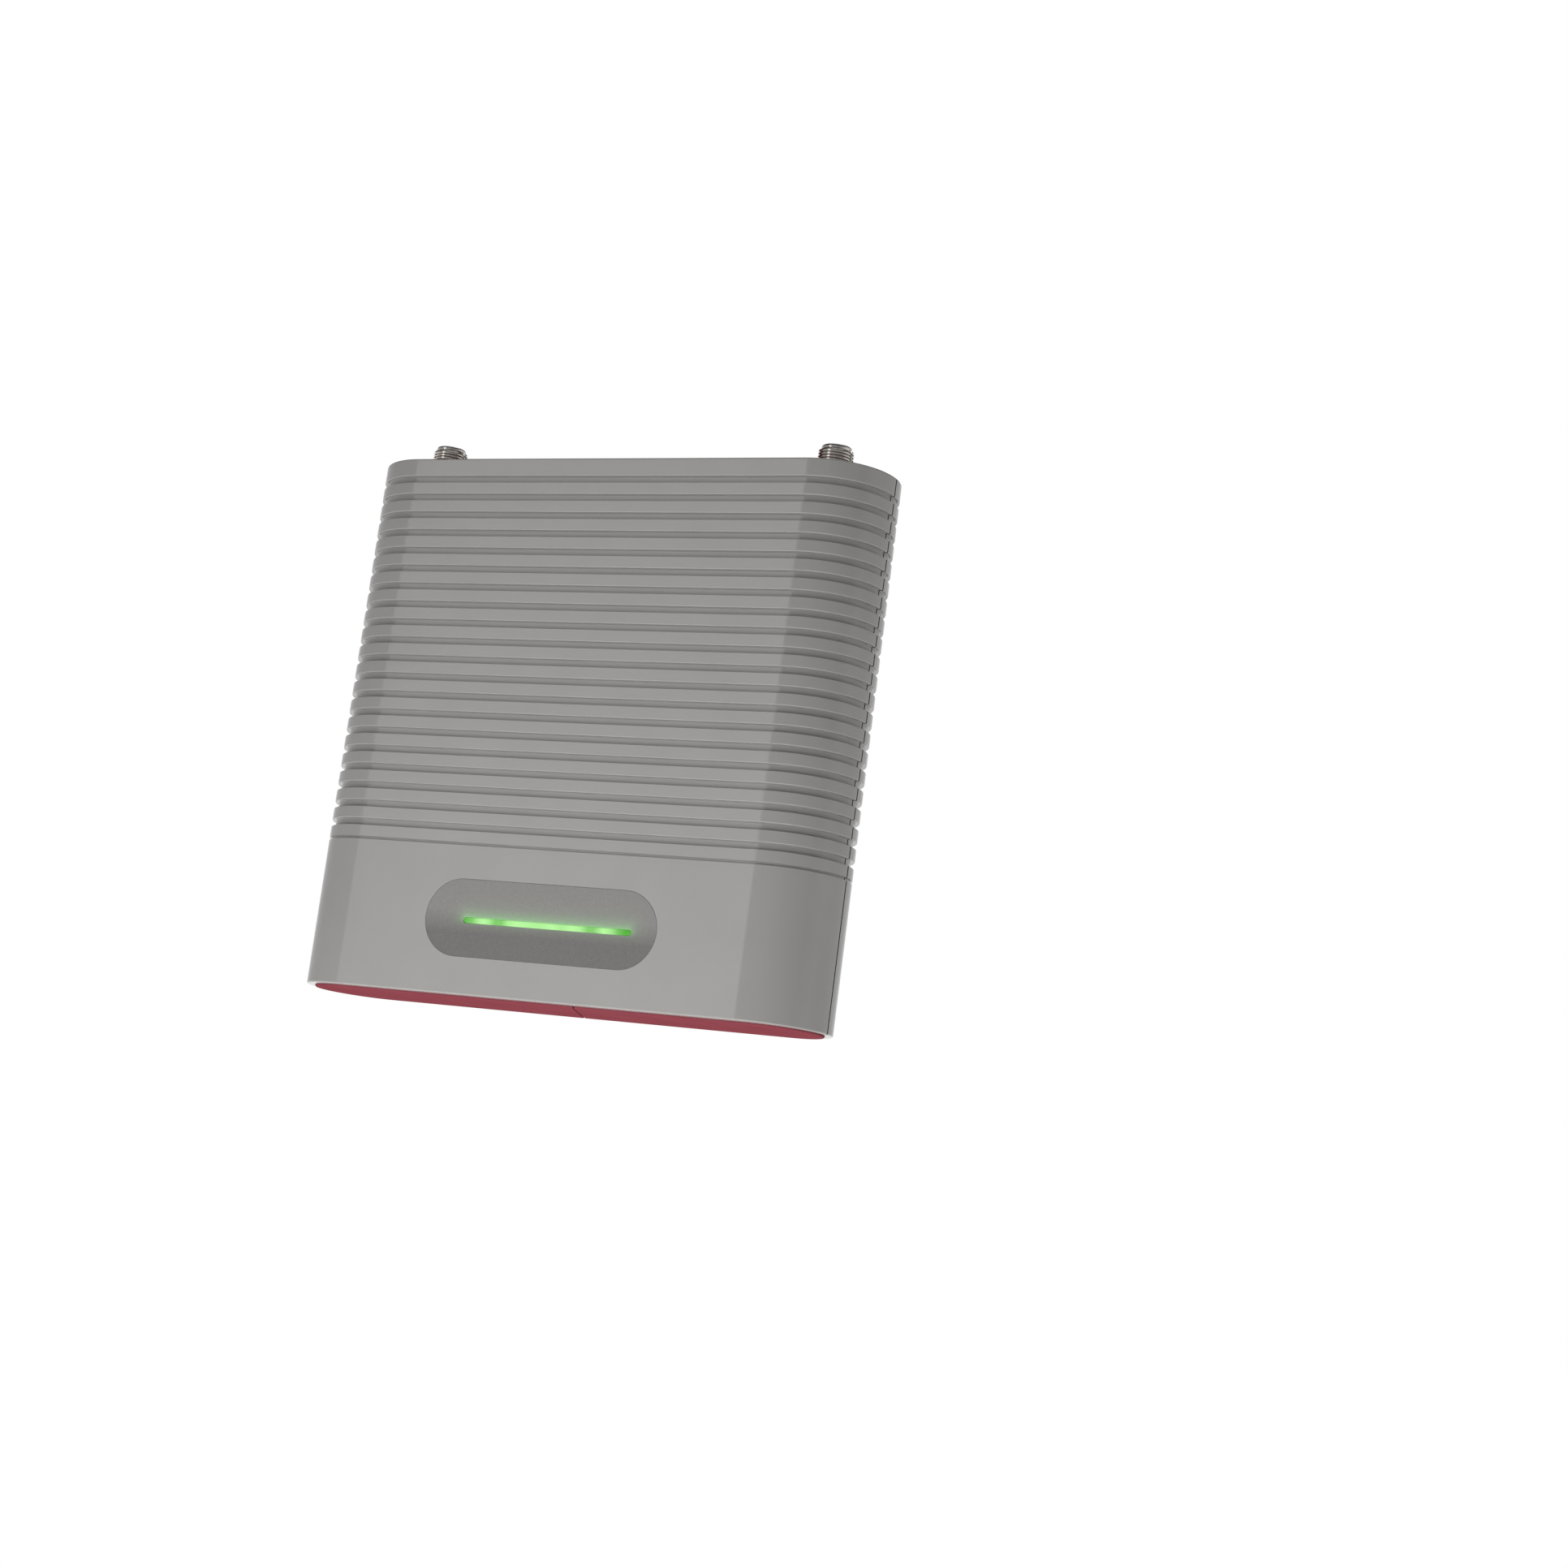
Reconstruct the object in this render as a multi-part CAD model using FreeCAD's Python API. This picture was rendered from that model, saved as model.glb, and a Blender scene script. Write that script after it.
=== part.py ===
import FreeCAD, Part

import math
import os

from FreeCAD import Vector

# Cellular signal booster: two ribbed die-cast shells that meet at the plane Y = 0, with a red panel held in
# the top rim and a red two-piece cover held in the bottom rim. Two F ports and the power jack stand in the
# top panel. A pill-shaped window with a light bar is set into the front shell. The main board hangs on the
# rear shell, which also takes the heat of the amplifiers.
# Millimetres. +Z is up, the window faces -Y, and the origin is at the middle of the underside.

# Case
CASE_WIDTH = 152.0
CASE_DEPTH = 36.0
CASE_HEIGHT = 144.5
COVER_STAND = 0.5            # how far the bottom cover stands below the shells' rim
END_RADIUS = CASE_DEPTH / 2
HALF_FLAT = CASE_WIDTH / 2 - END_RADIUS
SHELL_BOTTOM = COVER_STAND
SHELL_TOP = SHELL_BOTTOM + CASE_HEIGHT
WALL = 2.4                   # outside face to inside face
INNER_RADIUS = END_RADIUS - WALL
RIM_RADIUS = 13.0            # before the opening is cut
RIM_HEIGHT = 2.5
RIM_EDGE = 0.4
OPENING_RADIUS = 14.0        # the opening that shows each cover, longer than the case's own round ends allow
OPENING_HALF_FLAT = 60.2
CHANNEL_DEPTH = 0.6          # the groove behind each rim that holds the edge of a cover
CHANNEL_HEIGHT = 1.65
SEAM_GAP = 0.45
SEAM_CHAMFER = 0.12
TONGUE_REACH = 1.6           # how far the front shell's inner lip reaches past the seam
TONGUE_THICKNESS = 0.9
RIGHT, LEFT = 1, -1
SIDES = (RIGHT, LEFT)

# Ribs: square-floored grooves with eased lips, and one thin line below them
GROOVE_COUNT = 20
GROOVE_PITCH = 5.0
GROOVE_HEIGHT = 2.2
GROOVE_DEPTH = 1.05
GROOVE_TOP_CHAMFER = 0.3
GROOVE_BOTTOM_CHAMFER = 0.15
FIRST_GROOVE_DROP = 5.7      # from the top of the shell to the middle of the first groove
LINE_DROP = 105.1            # from the top of the shell to the thin line
LINE_HALF = 0.4
LINE_DEPTH = 0.6
LINE_TOP_SLOPE = 0.15
LINE_BOTTOM_SLOPE = 0.05
GROOVE_FLOOR = END_RADIUS - GROOVE_DEPTH

# Window and light bar
WINDOW_WIDTH = 68.0
WINDOW_HEIGHT = 20.4
WINDOW_Z = 20.5
WINDOW_GAP = 0.12
LENS_LIP = 1.6               # how far the lens reaches behind the wall, all round
LENS_LIP_DEPTH = 0.8
ADHESIVE = 0.2
BAR_LENGTH = 49.0
BAR_HEIGHT = 1.35
BAR_X = 2.2
BAR_Z = 19.95
GUIDE_LIP = 1.2
GUIDE_LIP_DEPTH = 1.0
LENS_BACK = ADHESIVE - INNER_RADIUS
GUIDE_BACK = LENS_BACK + LENS_LIP_DEPTH

# Light board behind the window
LED_BOARD_FRONT = -11.0
LED_BOARD_THICKNESS = 1.2
LED_BOARD_BACK = LED_BOARD_FRONT + LED_BOARD_THICKNESS
LED_BOARD_LENGTH = 92.0
LED_BOARD_HEIGHT = 12.0
LED_SCREW_X = 42.0
LED_SCREW_RADIUS = 1.0
LED_SCREW_HEAD = 1.9
LED_SCREW_LENGTH = 5.0
LED_BOSS_RADIUS = 2.5
LED_COUNT = 7
LED_PITCH = 7.6
LED_LENGTH = 2.0
LED_WIDTH = 1.2
LED_HEIGHT = 1.0
HEADER_PINS = 5
HEADER_PITCH = 2.54
HEADER_PIN_HALF = 0.32

# Main board
BOARD_FRONT = 0.5
BOARD_THICKNESS = 1.6
BOARD_BACK = BOARD_FRONT + BOARD_THICKNESS
BOARD_HALF_WIDTH = 61.5
BOARD_BOTTOM = 7.0
BOARD_TOP = 135.0
BOARD_SCREWS = [(-54.0, 11.0), (54.0, 11.0), (-54.0, 127.0), (54.0, 127.0), (0.0, 66.0)]
BOARD_BOSS_RADIUS = 3.0
BOARD_SCREW_RADIUS = 1.25
BOARD_SCREW_HEAD = 2.3
BOARD_SCREW_LENGTH = 8.0
JACK_NOTCH_BOTTOM = 126.5

# Case screws
CASE_SCREW_X = 66.0
CASE_SCREW_Z = (14.0, 122.0)
CASE_POST_RADIUS = 4.2
POST_SETBACK = 0.3           # from the seam's middle plane to the end of a post
CASE_SCREW_RADIUS = 1.5
CASE_SCREW_HEAD = 2.75
CASE_SCREW_SEAT = 9.0
CASE_SCREW_LENGTH = 18.0
SCREW_HEAD_CLEARANCE = 0.25
SCREW_SHANK_CLEARANCE = 0.2
BOSS_SKIN = 0.6              # the outer skin of a wall, where bosses do not reach
RUNNING_CLEARANCE = 0.05

# Amplifier halves of the board
CAN_X = 35.5
CAN_Z = 80.5
CAN_WIDTH = 44.0
CAN_LENGTH = 80.0
CAN_HEIGHT = 4.0
CAN_SHEET = 0.4
PAD_X = 34.0
PAD_Z = 77.0
PAD_WIDTH = 28.0
PAD_LENGTH = 30.0
PAD_THICKNESS = 1.0

# Parts on the front of the main board, each at (x, z)
AMPLIFIER_PLACES = [(side * x, CAN_Z) for side in SIDES for x in (28.0, 43.0)]
FILTER_PLACES = [(side * CAN_X, z) for side in SIDES for z in (48.0, 107.0)]
SMALL_FILTER_PLACES = [(side * x, 114.5) for side in SIDES for x in (24.0, 31.5, 39.5, 47.0)]
LOW_NOISE_PLACES = [(side * x, 57.5) for side in SIDES for x in (22.0, 35.5, 49.0)]
CERAMIC_PLACES = [(x, z) for x in (-6.0, -2.0, 2.0, 6.0) for z in (44.0, 50.0, 100.0, 105.0, 110.0)]
REGULATOR_PLACES = [(0.0, 117.0), (-9.5, 32.0), (9.5, 32.0)]
INDUCTOR_PLACES = [(-38.0, 32.0), (-24.0, 32.0)]
INDUCTOR_SIDE = 10.0
INDUCTOR_HEIGHT = 4.5
ELECTROLYTIC_PLACES = [(26.0, 32.0), (38.0, 32.0)]
ELECTROLYTIC_BASE = 8.6
ELECTROLYTIC_BASE_HEIGHT = 0.8
ELECTROLYTIC_RADIUS = 4.0
ELECTROLYTIC_HEIGHT = 8.0

# Rear land and keyholes
LAND_WIDTH = 108.0
LAND_BOTTOM = 56.0
LAND_TOP = 122.0
LAND_CORNER = 4.0
KEYHOLE_X = 45.0
KEYHOLE_Z = 108.0
KEYHOLE_HEAD_RADIUS = 4.25
KEYHOLE_NECK_RADIUS = 2.1
KEYHOLE_RISE = 8.0

# Top panel and bottom cover
COVER_GAP = 0.15
PANEL_DROP = 1.0             # from the rim down to the top panel's face
PANEL_BOTTOM = 141.0
PANEL_TOP = SHELL_TOP - PANEL_DROP
FLANGE_THICKNESS = 1.3
JOINT_FRONT_X = 11.15
JOINT_REAR_X = -0.45
JOINT_GAP = 0.35
COVER_EDGE = 0.35

# F ports, 3/8-32 thread
PORT_X = 58.7
PORT_Y = -1.5
THREAD_RADIUS = 9.525 / 2
PORT_NECK_RADIUS = 4.5       # the plain length inside the panel
THREAD_START = PANEL_TOP + 0.1
PORT_TOP = SHELL_TOP + 7.9
PORT_LIP = 0.9
PORT_LIP_RADIUS = 4.0
PORT_BORE = 2.9
PORT_SHOULDER = 0.8          # the step at the bore's foot that the insulator stands on
PORT_SHOULDER_BORE = 1.8
PORT_FLANGE_FLATS = 11.1
PORT_FLANGE_HEIGHT = 2.5
PORT_LEG = 1.0               # the square legs that straddle the board's top edge
PORT_LEG_X = 2.2
PORT_LEG_REACH = 4.5
CONTACT_RADIUS = 1.3
CONTACT_BORE = 0.55
TAIL_RADIUS = 0.45
TAIL_BEND_Z = 136.6          # where a contact's tail steps back to the board
PORT_FOOT = PANEL_BOTTOM - PORT_FLANGE_HEIGHT

# Power jack, 5.5 mm by 2.1 mm
JACK_HALF_X = 5.0
JACK_HALF_Y = 5.6
JACK_BOTTOM = 129.0
JACK_NECK_RADIUS = 4.6
JACK_TOP = SHELL_TOP - 0.4
JACK_BORE = 3.2
JACK_FLOOR = 131.5
JACK_SLOT_BOTTOM = 129.9
JACK_TAIL_BOTTOM = 124.0
JACK_PIN_RADIUS = 1.0
JACK_PIN_TOP = JACK_TOP - 1.8
SPRING_WIDTH = 2.4
SPRING_SHEET = 0.3
SPRING_ROOT_Y = -4.6
SPRING_ROOT_Z = 131.9
SPRING_BUMP_Y = -2.5
SPRING_BUMP_Z = 139.0
SPRING_TIP_Y = -3.4
SPRING_TIP_Z = 140.0
TERMINAL_SHEET = 0.6

MARGIN = 5.0                 # how far a cutting tool runs past what it cuts


# Basic solids

def box(x0, x1, y0, y1, z0, z1):
    return Part.makeBox(x1 - x0, y1 - y0, z1 - z0, Vector(x0, y0, z0))


def rod(radius, start, end):
    """A round bar between two points."""
    start, end = Vector(*start), Vector(*end)
    return Part.makeCylinder(radius, (end - start).Length, start, end - start)


def tube(outer, inner, x, y, z0, z1):
    return rod(outer, (x, y, z0), (x, y, z1)).cut(rod(inner, (x, y, z0 - 1), (x, y, z1 + 1)))


def stadium(half_flat, radius, z0, z1):
    """An upright prism with flat front and back and fully rounded ends."""
    front_left, front_right = Vector(-half_flat, -radius, z0), Vector(half_flat, -radius, z0)
    back_left, back_right = Vector(-half_flat, radius, z0), Vector(half_flat, radius, z0)
    edges = [
        Part.LineSegment(front_left, front_right).toShape(),
        Part.Arc(front_right, Vector(half_flat + radius, 0, z0), back_right).toShape(),
        Part.LineSegment(back_right, back_left).toShape(),
        Part.Arc(back_left, Vector(-half_flat - radius, 0, z0), front_left).toShape(),
    ]
    return Part.Face(Part.Wire(edges)).extrude(Vector(0, 0, z1 - z0))


def pill(length, height, x, z, y0, y1):
    """A prism along Y with the outline of a pill lying along X."""
    radius = height / 2
    reach = length / 2 - radius
    middle = box(x - reach, x + reach, y0, y1, z - radius, z + radius)
    ends = [rod(radius, (x + side * reach, y0, z), (x + side * reach, y1, z)) for side in SIDES]
    return middle.fuse(ends).removeSplitter()


def hexagon(flats, x, y, z0, z1):
    corner = flats / math.sqrt(3)
    turns = [math.radians(60 * i) for i in range(7)]
    points = [Vector(x + corner * math.cos(turn), y + corner * math.sin(turn), z0) for turn in turns]
    return Part.Face(Part.makePolygon(points)).extrude(Vector(0, 0, z1 - z0))


def prism_x(points, x0, x1):
    """A prism along X whose outline is a list of (y, z) points."""
    outline = [Vector(x0, y, z) for y, z in points + points[:1]]
    return Part.Face(Part.makePolygon(outline)).extrude(Vector(x1 - x0, 0, 0))


def mirrored_x(shape):
    return shape.mirror(Vector(0, 0, 0), Vector(1, 0, 0))


def group(solids):
    """Separate pieces of one kind, kept as separate solids in one node."""
    return Part.makeCompound(list(solids))


# Shells

def shell_section():
    """Half of the case's cross-section as (distance from the middle plane, height) points."""
    lip = GROOVE_HEIGHT / 2
    line_z = SHELL_TOP - LINE_DROP
    under_rim, over_rim = SHELL_TOP - RIM_HEIGHT, SHELL_BOTTOM + RIM_HEIGHT
    points = [
        (RIM_RADIUS, SHELL_BOTTOM),
        (END_RADIUS - RIM_EDGE, SHELL_BOTTOM),
        (END_RADIUS, SHELL_BOTTOM + RIM_EDGE),
        (END_RADIUS, line_z - LINE_HALF),
        (END_RADIUS - LINE_DEPTH, line_z - LINE_HALF + LINE_BOTTOM_SLOPE),
        (END_RADIUS - LINE_DEPTH, line_z + LINE_HALF - LINE_TOP_SLOPE),
        (END_RADIUS, line_z + LINE_HALF),
    ]
    for groove in reversed(range(GROOVE_COUNT)):
        middle = SHELL_TOP - FIRST_GROOVE_DROP - GROOVE_PITCH * groove
        points += [
            (END_RADIUS, middle - lip),
            (END_RADIUS - GROOVE_BOTTOM_CHAMFER, middle - lip + GROOVE_BOTTOM_CHAMFER),
            (GROOVE_FLOOR, middle - lip + GROOVE_BOTTOM_CHAMFER),
            (GROOVE_FLOOR, middle + lip - GROOVE_TOP_CHAMFER),
            (END_RADIUS - GROOVE_TOP_CHAMFER, middle + lip - GROOVE_TOP_CHAMFER),
            (END_RADIUS, middle + lip),
        ]
    points += [
        (END_RADIUS, SHELL_TOP - RIM_EDGE),
        (END_RADIUS - RIM_EDGE, SHELL_TOP),
        (RIM_RADIUS, SHELL_TOP),
        (RIM_RADIUS, under_rim),
        (INNER_RADIUS, under_rim),
        (INNER_RADIUS, over_rim),
        (RIM_RADIUS, over_rim),
    ]
    return points


def opening(grow, z0, z1):
    """The outline of a cover's opening, grown all round by a distance."""
    return stadium(OPENING_HALF_FLAT, OPENING_RADIUS + grow, z0, z1)


def blank_front_shell():
    """The front half of the case: the section drawn straight across and turned round each end."""
    section = shell_section()
    outline = [Vector(HALF_FLAT, -distance, z) for distance, z in section + section[:1]]
    face = Part.Face(Part.makePolygon(outline))
    right_end = face.revolve(Vector(HALF_FLAT, 0, 0), Vector(0, 0, 1), 90)
    front = face.extrude(Vector(-2 * HALF_FLAT, 0, 0))
    shell = front.fuse([right_end, mirrored_x(right_end)]).removeSplitter()
    under_rim, over_rim = SHELL_TOP - RIM_HEIGHT, SHELL_BOTTOM + RIM_HEIGHT
    shell = shell.cut([
        opening(0, under_rim - 1, SHELL_TOP + 1),
        opening(CHANNEL_DEPTH, under_rim - CHANNEL_HEIGHT, under_rim),
        opening(CHANNEL_DEPTH, over_rim, over_rim + CHANNEL_HEIGHT),
        opening(0, SHELL_BOTTOM - 1, over_rim + 1),
    ])
    reach = CASE_WIDTH / 2 + MARGIN
    shell = shell.cut(box(-reach, reach, -SEAM_GAP / 2, MARGIN, 0, SHELL_TOP + MARGIN))
    for side in SIDES:
        corner = Vector(side * CASE_WIDTH / 2, -SEAM_GAP / 2, 0)
        slope_foot = corner + Vector(-side * SEAM_CHAMFER, 0, 0)
        chamfer = Part.makePolygon([
            slope_foot + Vector(0, MARGIN, 0),
            slope_foot,
            slope_foot + Vector(side * MARGIN, -MARGIN, 0),
            slope_foot + Vector(side * MARGIN, MARGIN, 0),
            slope_foot + Vector(0, MARGIN, 0),
        ])
        shell = shell.cut(Part.Face(chamfer).extrude(Vector(0, 0, SHELL_TOP + MARGIN)))
    return shell


def case_core():
    """The space in which bosses may grow: it ends inside the thinnest wall."""
    return stadium(HALF_FLAT, GROOVE_FLOOR - BOSS_SKIN, SHELL_BOTTOM + RIM_HEIGHT, SHELL_TOP - RIM_HEIGHT)


def seam_tongue():
    """A lip at each narrow end that reaches from the front shell across the seam, inside the rear shell."""
    tongue_radius = INNER_RADIUS - COVER_GAP
    z0, z1 = SHELL_BOTTOM + 2 * RIM_HEIGHT, PANEL_BOTTOM - 1.0
    hollow = stadium(HALF_FLAT, tongue_radius - TONGUE_THICKNESS, z0 - 1, z1 + 1)
    root = stadium(HALF_FLAT, INNER_RADIUS + RUNNING_CLEARANCE, z0, z1).cut(hollow)
    lip = stadium(HALF_FLAT, tongue_radius, z0, z1).cut(hollow)
    tongues = []
    for side in SIDES:
        x0, x1 = sorted((side * CASE_SCREW_X, side * CASE_WIDTH))
        tongues.append(root.common(box(x0, x1, -TONGUE_REACH, -SEAM_GAP / 2, z0, z1)))
        tongues.append(lip.common(box(x0, x1, -SEAM_GAP / 2 - 0.1, TONGUE_REACH, z0, z1)))
    return tongues


def rod_y(radius, x, z, y0, y1):
    return rod(radius, (x, y0, z), (x, y1, z))


def front_shell(blank):
    bosses = []
    holes = []
    screw_tip = CASE_SCREW_SEAT - CASE_SCREW_LENGTH
    led_hole_end = LED_BOARD_BACK - LED_SCREW_LENGTH - 0.4
    for side in SIDES:
        for z in CASE_SCREW_Z:
            x = side * CASE_SCREW_X
            bosses.append(rod_y(CASE_POST_RADIUS, x, z, -POST_SETBACK, -END_RADIUS))
            holes.append(rod_y(CASE_SCREW_RADIUS + RUNNING_CLEARANCE, x, z, 0, screw_tip - 1.0))
        x = side * LED_SCREW_X
        bosses.append(rod_y(LED_BOSS_RADIUS, x, WINDOW_Z, LED_BOARD_FRONT, -END_RADIUS))
        holes.append(rod_y(LED_SCREW_RADIUS + RUNNING_CLEARANCE, x, WINDOW_Z, LED_BOARD_BACK, led_hole_end))
    core = case_core()
    shell = blank.fuse([boss.common(core) for boss in bosses] + seam_tongue())
    window = pill(WINDOW_WIDTH, WINDOW_HEIGHT, 0, WINDOW_Z, -END_RADIUS - 1, -INNER_RADIUS + 1)
    return shell.cut([window] + holes)


def keyhole(x):
    """A round entry for the screw's head with a narrower neck rising from its middle."""
    y0, y1 = INNER_RADIUS - 1, END_RADIUS + 1
    neck_top = KEYHOLE_Z + KEYHOLE_RISE
    neck = box(x - KEYHOLE_NECK_RADIUS, x + KEYHOLE_NECK_RADIUS, y0, y1, KEYHOLE_Z, neck_top)
    return [
        rod_y(KEYHOLE_HEAD_RADIUS, x, KEYHOLE_Z, y0, y1),
        neck,
        rod_y(KEYHOLE_NECK_RADIUS, x, neck_top, y0, y1),
    ]


def pad_block(side, y0, y1):
    """A block over the amplifiers of one side, with the thermal pad's outline."""
    x = side * PAD_X
    return box(x - PAD_WIDTH / 2, x + PAD_WIDTH / 2, y0, y1, PAD_Z - PAD_LENGTH / 2, PAD_Z + PAD_LENGTH / 2)


def edges_along_y(solid):
    return [edge for edge in solid.Edges if abs(edge.tangentAt(edge.FirstParameter).y) > 0.99]


def rear_shell(blank):
    shell = blank.mirror(Vector(0, 0, 0), Vector(0, 1, 0))
    bosses = []
    holes = []
    for side in SIDES:
        x = side * CASE_SCREW_X
        for z in CASE_SCREW_Z:
            bosses.append(rod_y(CASE_POST_RADIUS, x, z, POST_SETBACK, END_RADIUS))
            holes.append(rod_y(CASE_SCREW_RADIUS + SCREW_SHANK_CLEARANCE, x, z, 0, END_RADIUS))
            holes.append(rod_y(CASE_SCREW_HEAD + SCREW_HEAD_CLEARANCE, x, z, CASE_SCREW_SEAT, END_RADIUS + 1))
        bosses.append(pad_block(side, BOARD_BACK + PAD_THICKNESS, END_RADIUS))
        holes += keyhole(side * KEYHOLE_X)
    for x, z in BOARD_SCREWS:
        hole_end = BOARD_FRONT + BOARD_SCREW_LENGTH + 0.6
        bosses.append(rod_y(BOARD_BOSS_RADIUS, x, z, BOARD_BACK, END_RADIUS))
        holes.append(rod_y(BOARD_SCREW_RADIUS + RUNNING_CLEARANCE, x, z, BOARD_BACK - 1, hole_end))
    land = box(-LAND_WIDTH / 2, LAND_WIDTH / 2, GROOVE_FLOOR, END_RADIUS + 1, LAND_BOTTOM, LAND_TOP)
    land = land.makeFillet(LAND_CORNER, edges_along_y(land))
    core = case_core()
    shell = shell.fuse([boss.common(core) for boss in bosses])
    return shell.cut([land] + holes)


# Top panel and bottom cover

def top_panel():
    plate = opening(-COVER_GAP, PANEL_BOTTOM, PANEL_TOP)
    flange_top = SHELL_TOP - RIM_HEIGHT - COVER_GAP
    flange = opening(CHANNEL_DEPTH - COVER_GAP, PANEL_BOTTOM, flange_top)
    panel = plate.fuse(flange).removeSplitter()
    holes = []
    ports = [(side * PORT_X, PORT_Y, THREAD_RADIUS) for side in SIDES]
    for x, y, radius in ports + [(0, 0, JACK_NECK_RADIUS)]:
        holes.append(rod(radius + COVER_GAP, (x, y, PANEL_BOTTOM - 1), (x, y, PANEL_TOP + 1)))
    return panel.cut(holes)


def bottom_cover():
    """The whole cover before its joint is cut."""
    flange_bottom = SHELL_BOTTOM + RIM_HEIGHT + COVER_GAP
    pad = opening(-COVER_GAP, 0, flange_bottom)
    lower_edges = [edge for edge in pad.Edges if edge.BoundBox.ZMax < 0.01]
    pad = pad.makeChamfer(COVER_EDGE, lower_edges)
    flange_top = flange_bottom + FLANGE_THICKNESS
    flange = opening(CHANNEL_DEPTH - COVER_GAP, flange_bottom, flange_top)
    return pad.fuse(flange)


def bottom_cover_half(side):
    """One side of the slanted joint across the bottom cover."""
    depth = 2 * OPENING_RADIUS
    slope = (JOINT_REAR_X - JOINT_FRONT_X) / depth
    middle = (JOINT_FRONT_X + JOINT_REAR_X) / 2
    reach = CASE_WIDTH
    half_gap = side * JOINT_GAP / 2
    outline = [
        Vector(middle - slope * END_RADIUS + half_gap, -END_RADIUS, -1),
        Vector(side * reach, -END_RADIUS, -1),
        Vector(side * reach, END_RADIUS, -1),
        Vector(middle + slope * END_RADIUS + half_gap, END_RADIUS, -1),
    ]
    keep = Part.Face(Part.makePolygon(outline + outline[:1])).extrude(Vector(0, 0, 2 * MARGIN))
    return bottom_cover().common(keep)


# Window

def window_pill(grow, y0, y1):
    """The window's outline grown all round by a distance."""
    return pill(WINDOW_WIDTH + 2 * grow, WINDOW_HEIGHT + 2 * grow, 0, WINDOW_Z, y0, y1)


def bar_pill(grow, y0, y1):
    """The light bar's outline grown all round by a distance."""
    return pill(BAR_LENGTH + 2 * grow, BAR_HEIGHT + 2 * grow, BAR_X, BAR_Z, y0, y1)


def window_lens():
    plate = window_pill(-WINDOW_GAP, -END_RADIUS, LENS_BACK)
    lip = window_pill(LENS_LIP, LENS_BACK, GUIDE_BACK)
    slot = bar_pill(WINDOW_GAP, -END_RADIUS - 1, GUIDE_BACK + 1)
    return plate.fuse(lip).cut(slot)


def lens_adhesive():
    ring = window_pill(LENS_LIP, -INNER_RADIUS, LENS_BACK)
    return ring.cut(window_pill(0, -INNER_RADIUS - 1, LENS_BACK + 1))


def light_guide():
    bar = bar_pill(0, -END_RADIUS, GUIDE_BACK)
    lip = bar_pill(GUIDE_LIP, GUIDE_BACK, GUIDE_BACK + GUIDE_LIP_DEPTH)
    return bar.fuse(lip)


def led_board():
    half_x, half_z = LED_BOARD_LENGTH / 2, LED_BOARD_HEIGHT / 2
    board = box(-half_x, half_x, LED_BOARD_FRONT, LED_BOARD_BACK, WINDOW_Z - half_z, WINDOW_Z + half_z)
    hole_radius = LED_SCREW_RADIUS + SCREW_SHANK_CLEARANCE
    y0, y1 = LED_BOARD_FRONT - 1, LED_BOARD_BACK + 1
    return board.cut([rod_y(hole_radius, side * LED_SCREW_X, WINDOW_Z, y0, y1) for side in SIDES])


def status_leds():
    first = BAR_X - LED_PITCH * (LED_COUNT - 1) / 2
    half_x, half_z = LED_LENGTH / 2, LED_WIDTH / 2
    top = LED_BOARD_FRONT - LED_HEIGHT
    return group(box(x - half_x, x + half_x, top, LED_BOARD_FRONT, BAR_Z - half_z, BAR_Z + half_z)
                 for x in (first + LED_PITCH * i for i in range(LED_COUNT)))


def screw(head_radius, radius, x, z, seat, direction, length, head_height):
    """A pan-head screw along Y with its head's underside at the seat and a cross in the head."""
    top = seat - direction * head_height
    head = rod_y(head_radius, x, z, seat, top)
    shank = rod_y(radius, x, z, seat, seat + direction * length)
    cross_floor = seat - direction * head_height * 0.45
    y0, y1 = sorted((top - direction, cross_floor))
    arm, half = head_radius * 0.6, head_radius * 0.13
    across = box(x - arm, x + arm, y0, y1, z - half, z + half)
    upright = box(x - half, x + half, y0, y1, z - arm, z + arm)
    return head.fuse(shank).cut(across.fuse(upright))


def led_board_screws():
    return group(screw(LED_SCREW_HEAD, LED_SCREW_RADIUS, side * LED_SCREW_X, WINDOW_Z, LED_BOARD_BACK, -1,
                       LED_SCREW_LENGTH, 1.2) for side in SIDES)


def header_pin_positions():
    first = -HEADER_PITCH * (HEADER_PINS - 1) / 2
    half_pitch = HEADER_PITCH / 2
    return [(first + HEADER_PITCH * i, BAR_Z + row * half_pitch) for i in range(HEADER_PINS) for row in SIDES]


def led_header_block():
    half_x = HEADER_PITCH * HEADER_PINS / 2
    block = box(-half_x, half_x, LED_BOARD_BACK, BOARD_FRONT, BAR_Z - HEADER_PITCH, BAR_Z + HEADER_PITCH)
    gap = HEADER_PIN_HALF + RUNNING_CLEARANCE
    return block.cut([box(x - gap, x + gap, LED_BOARD_BACK - 1, BOARD_FRONT + 1, z - gap, z + gap)
                      for x, z in header_pin_positions()])


def led_header_pins():
    half = HEADER_PIN_HALF
    return group(box(x - half, x + half, LED_BOARD_BACK, BOARD_FRONT, z - half, z + half)
                 for x, z in header_pin_positions())


# Main board and what it carries

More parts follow.
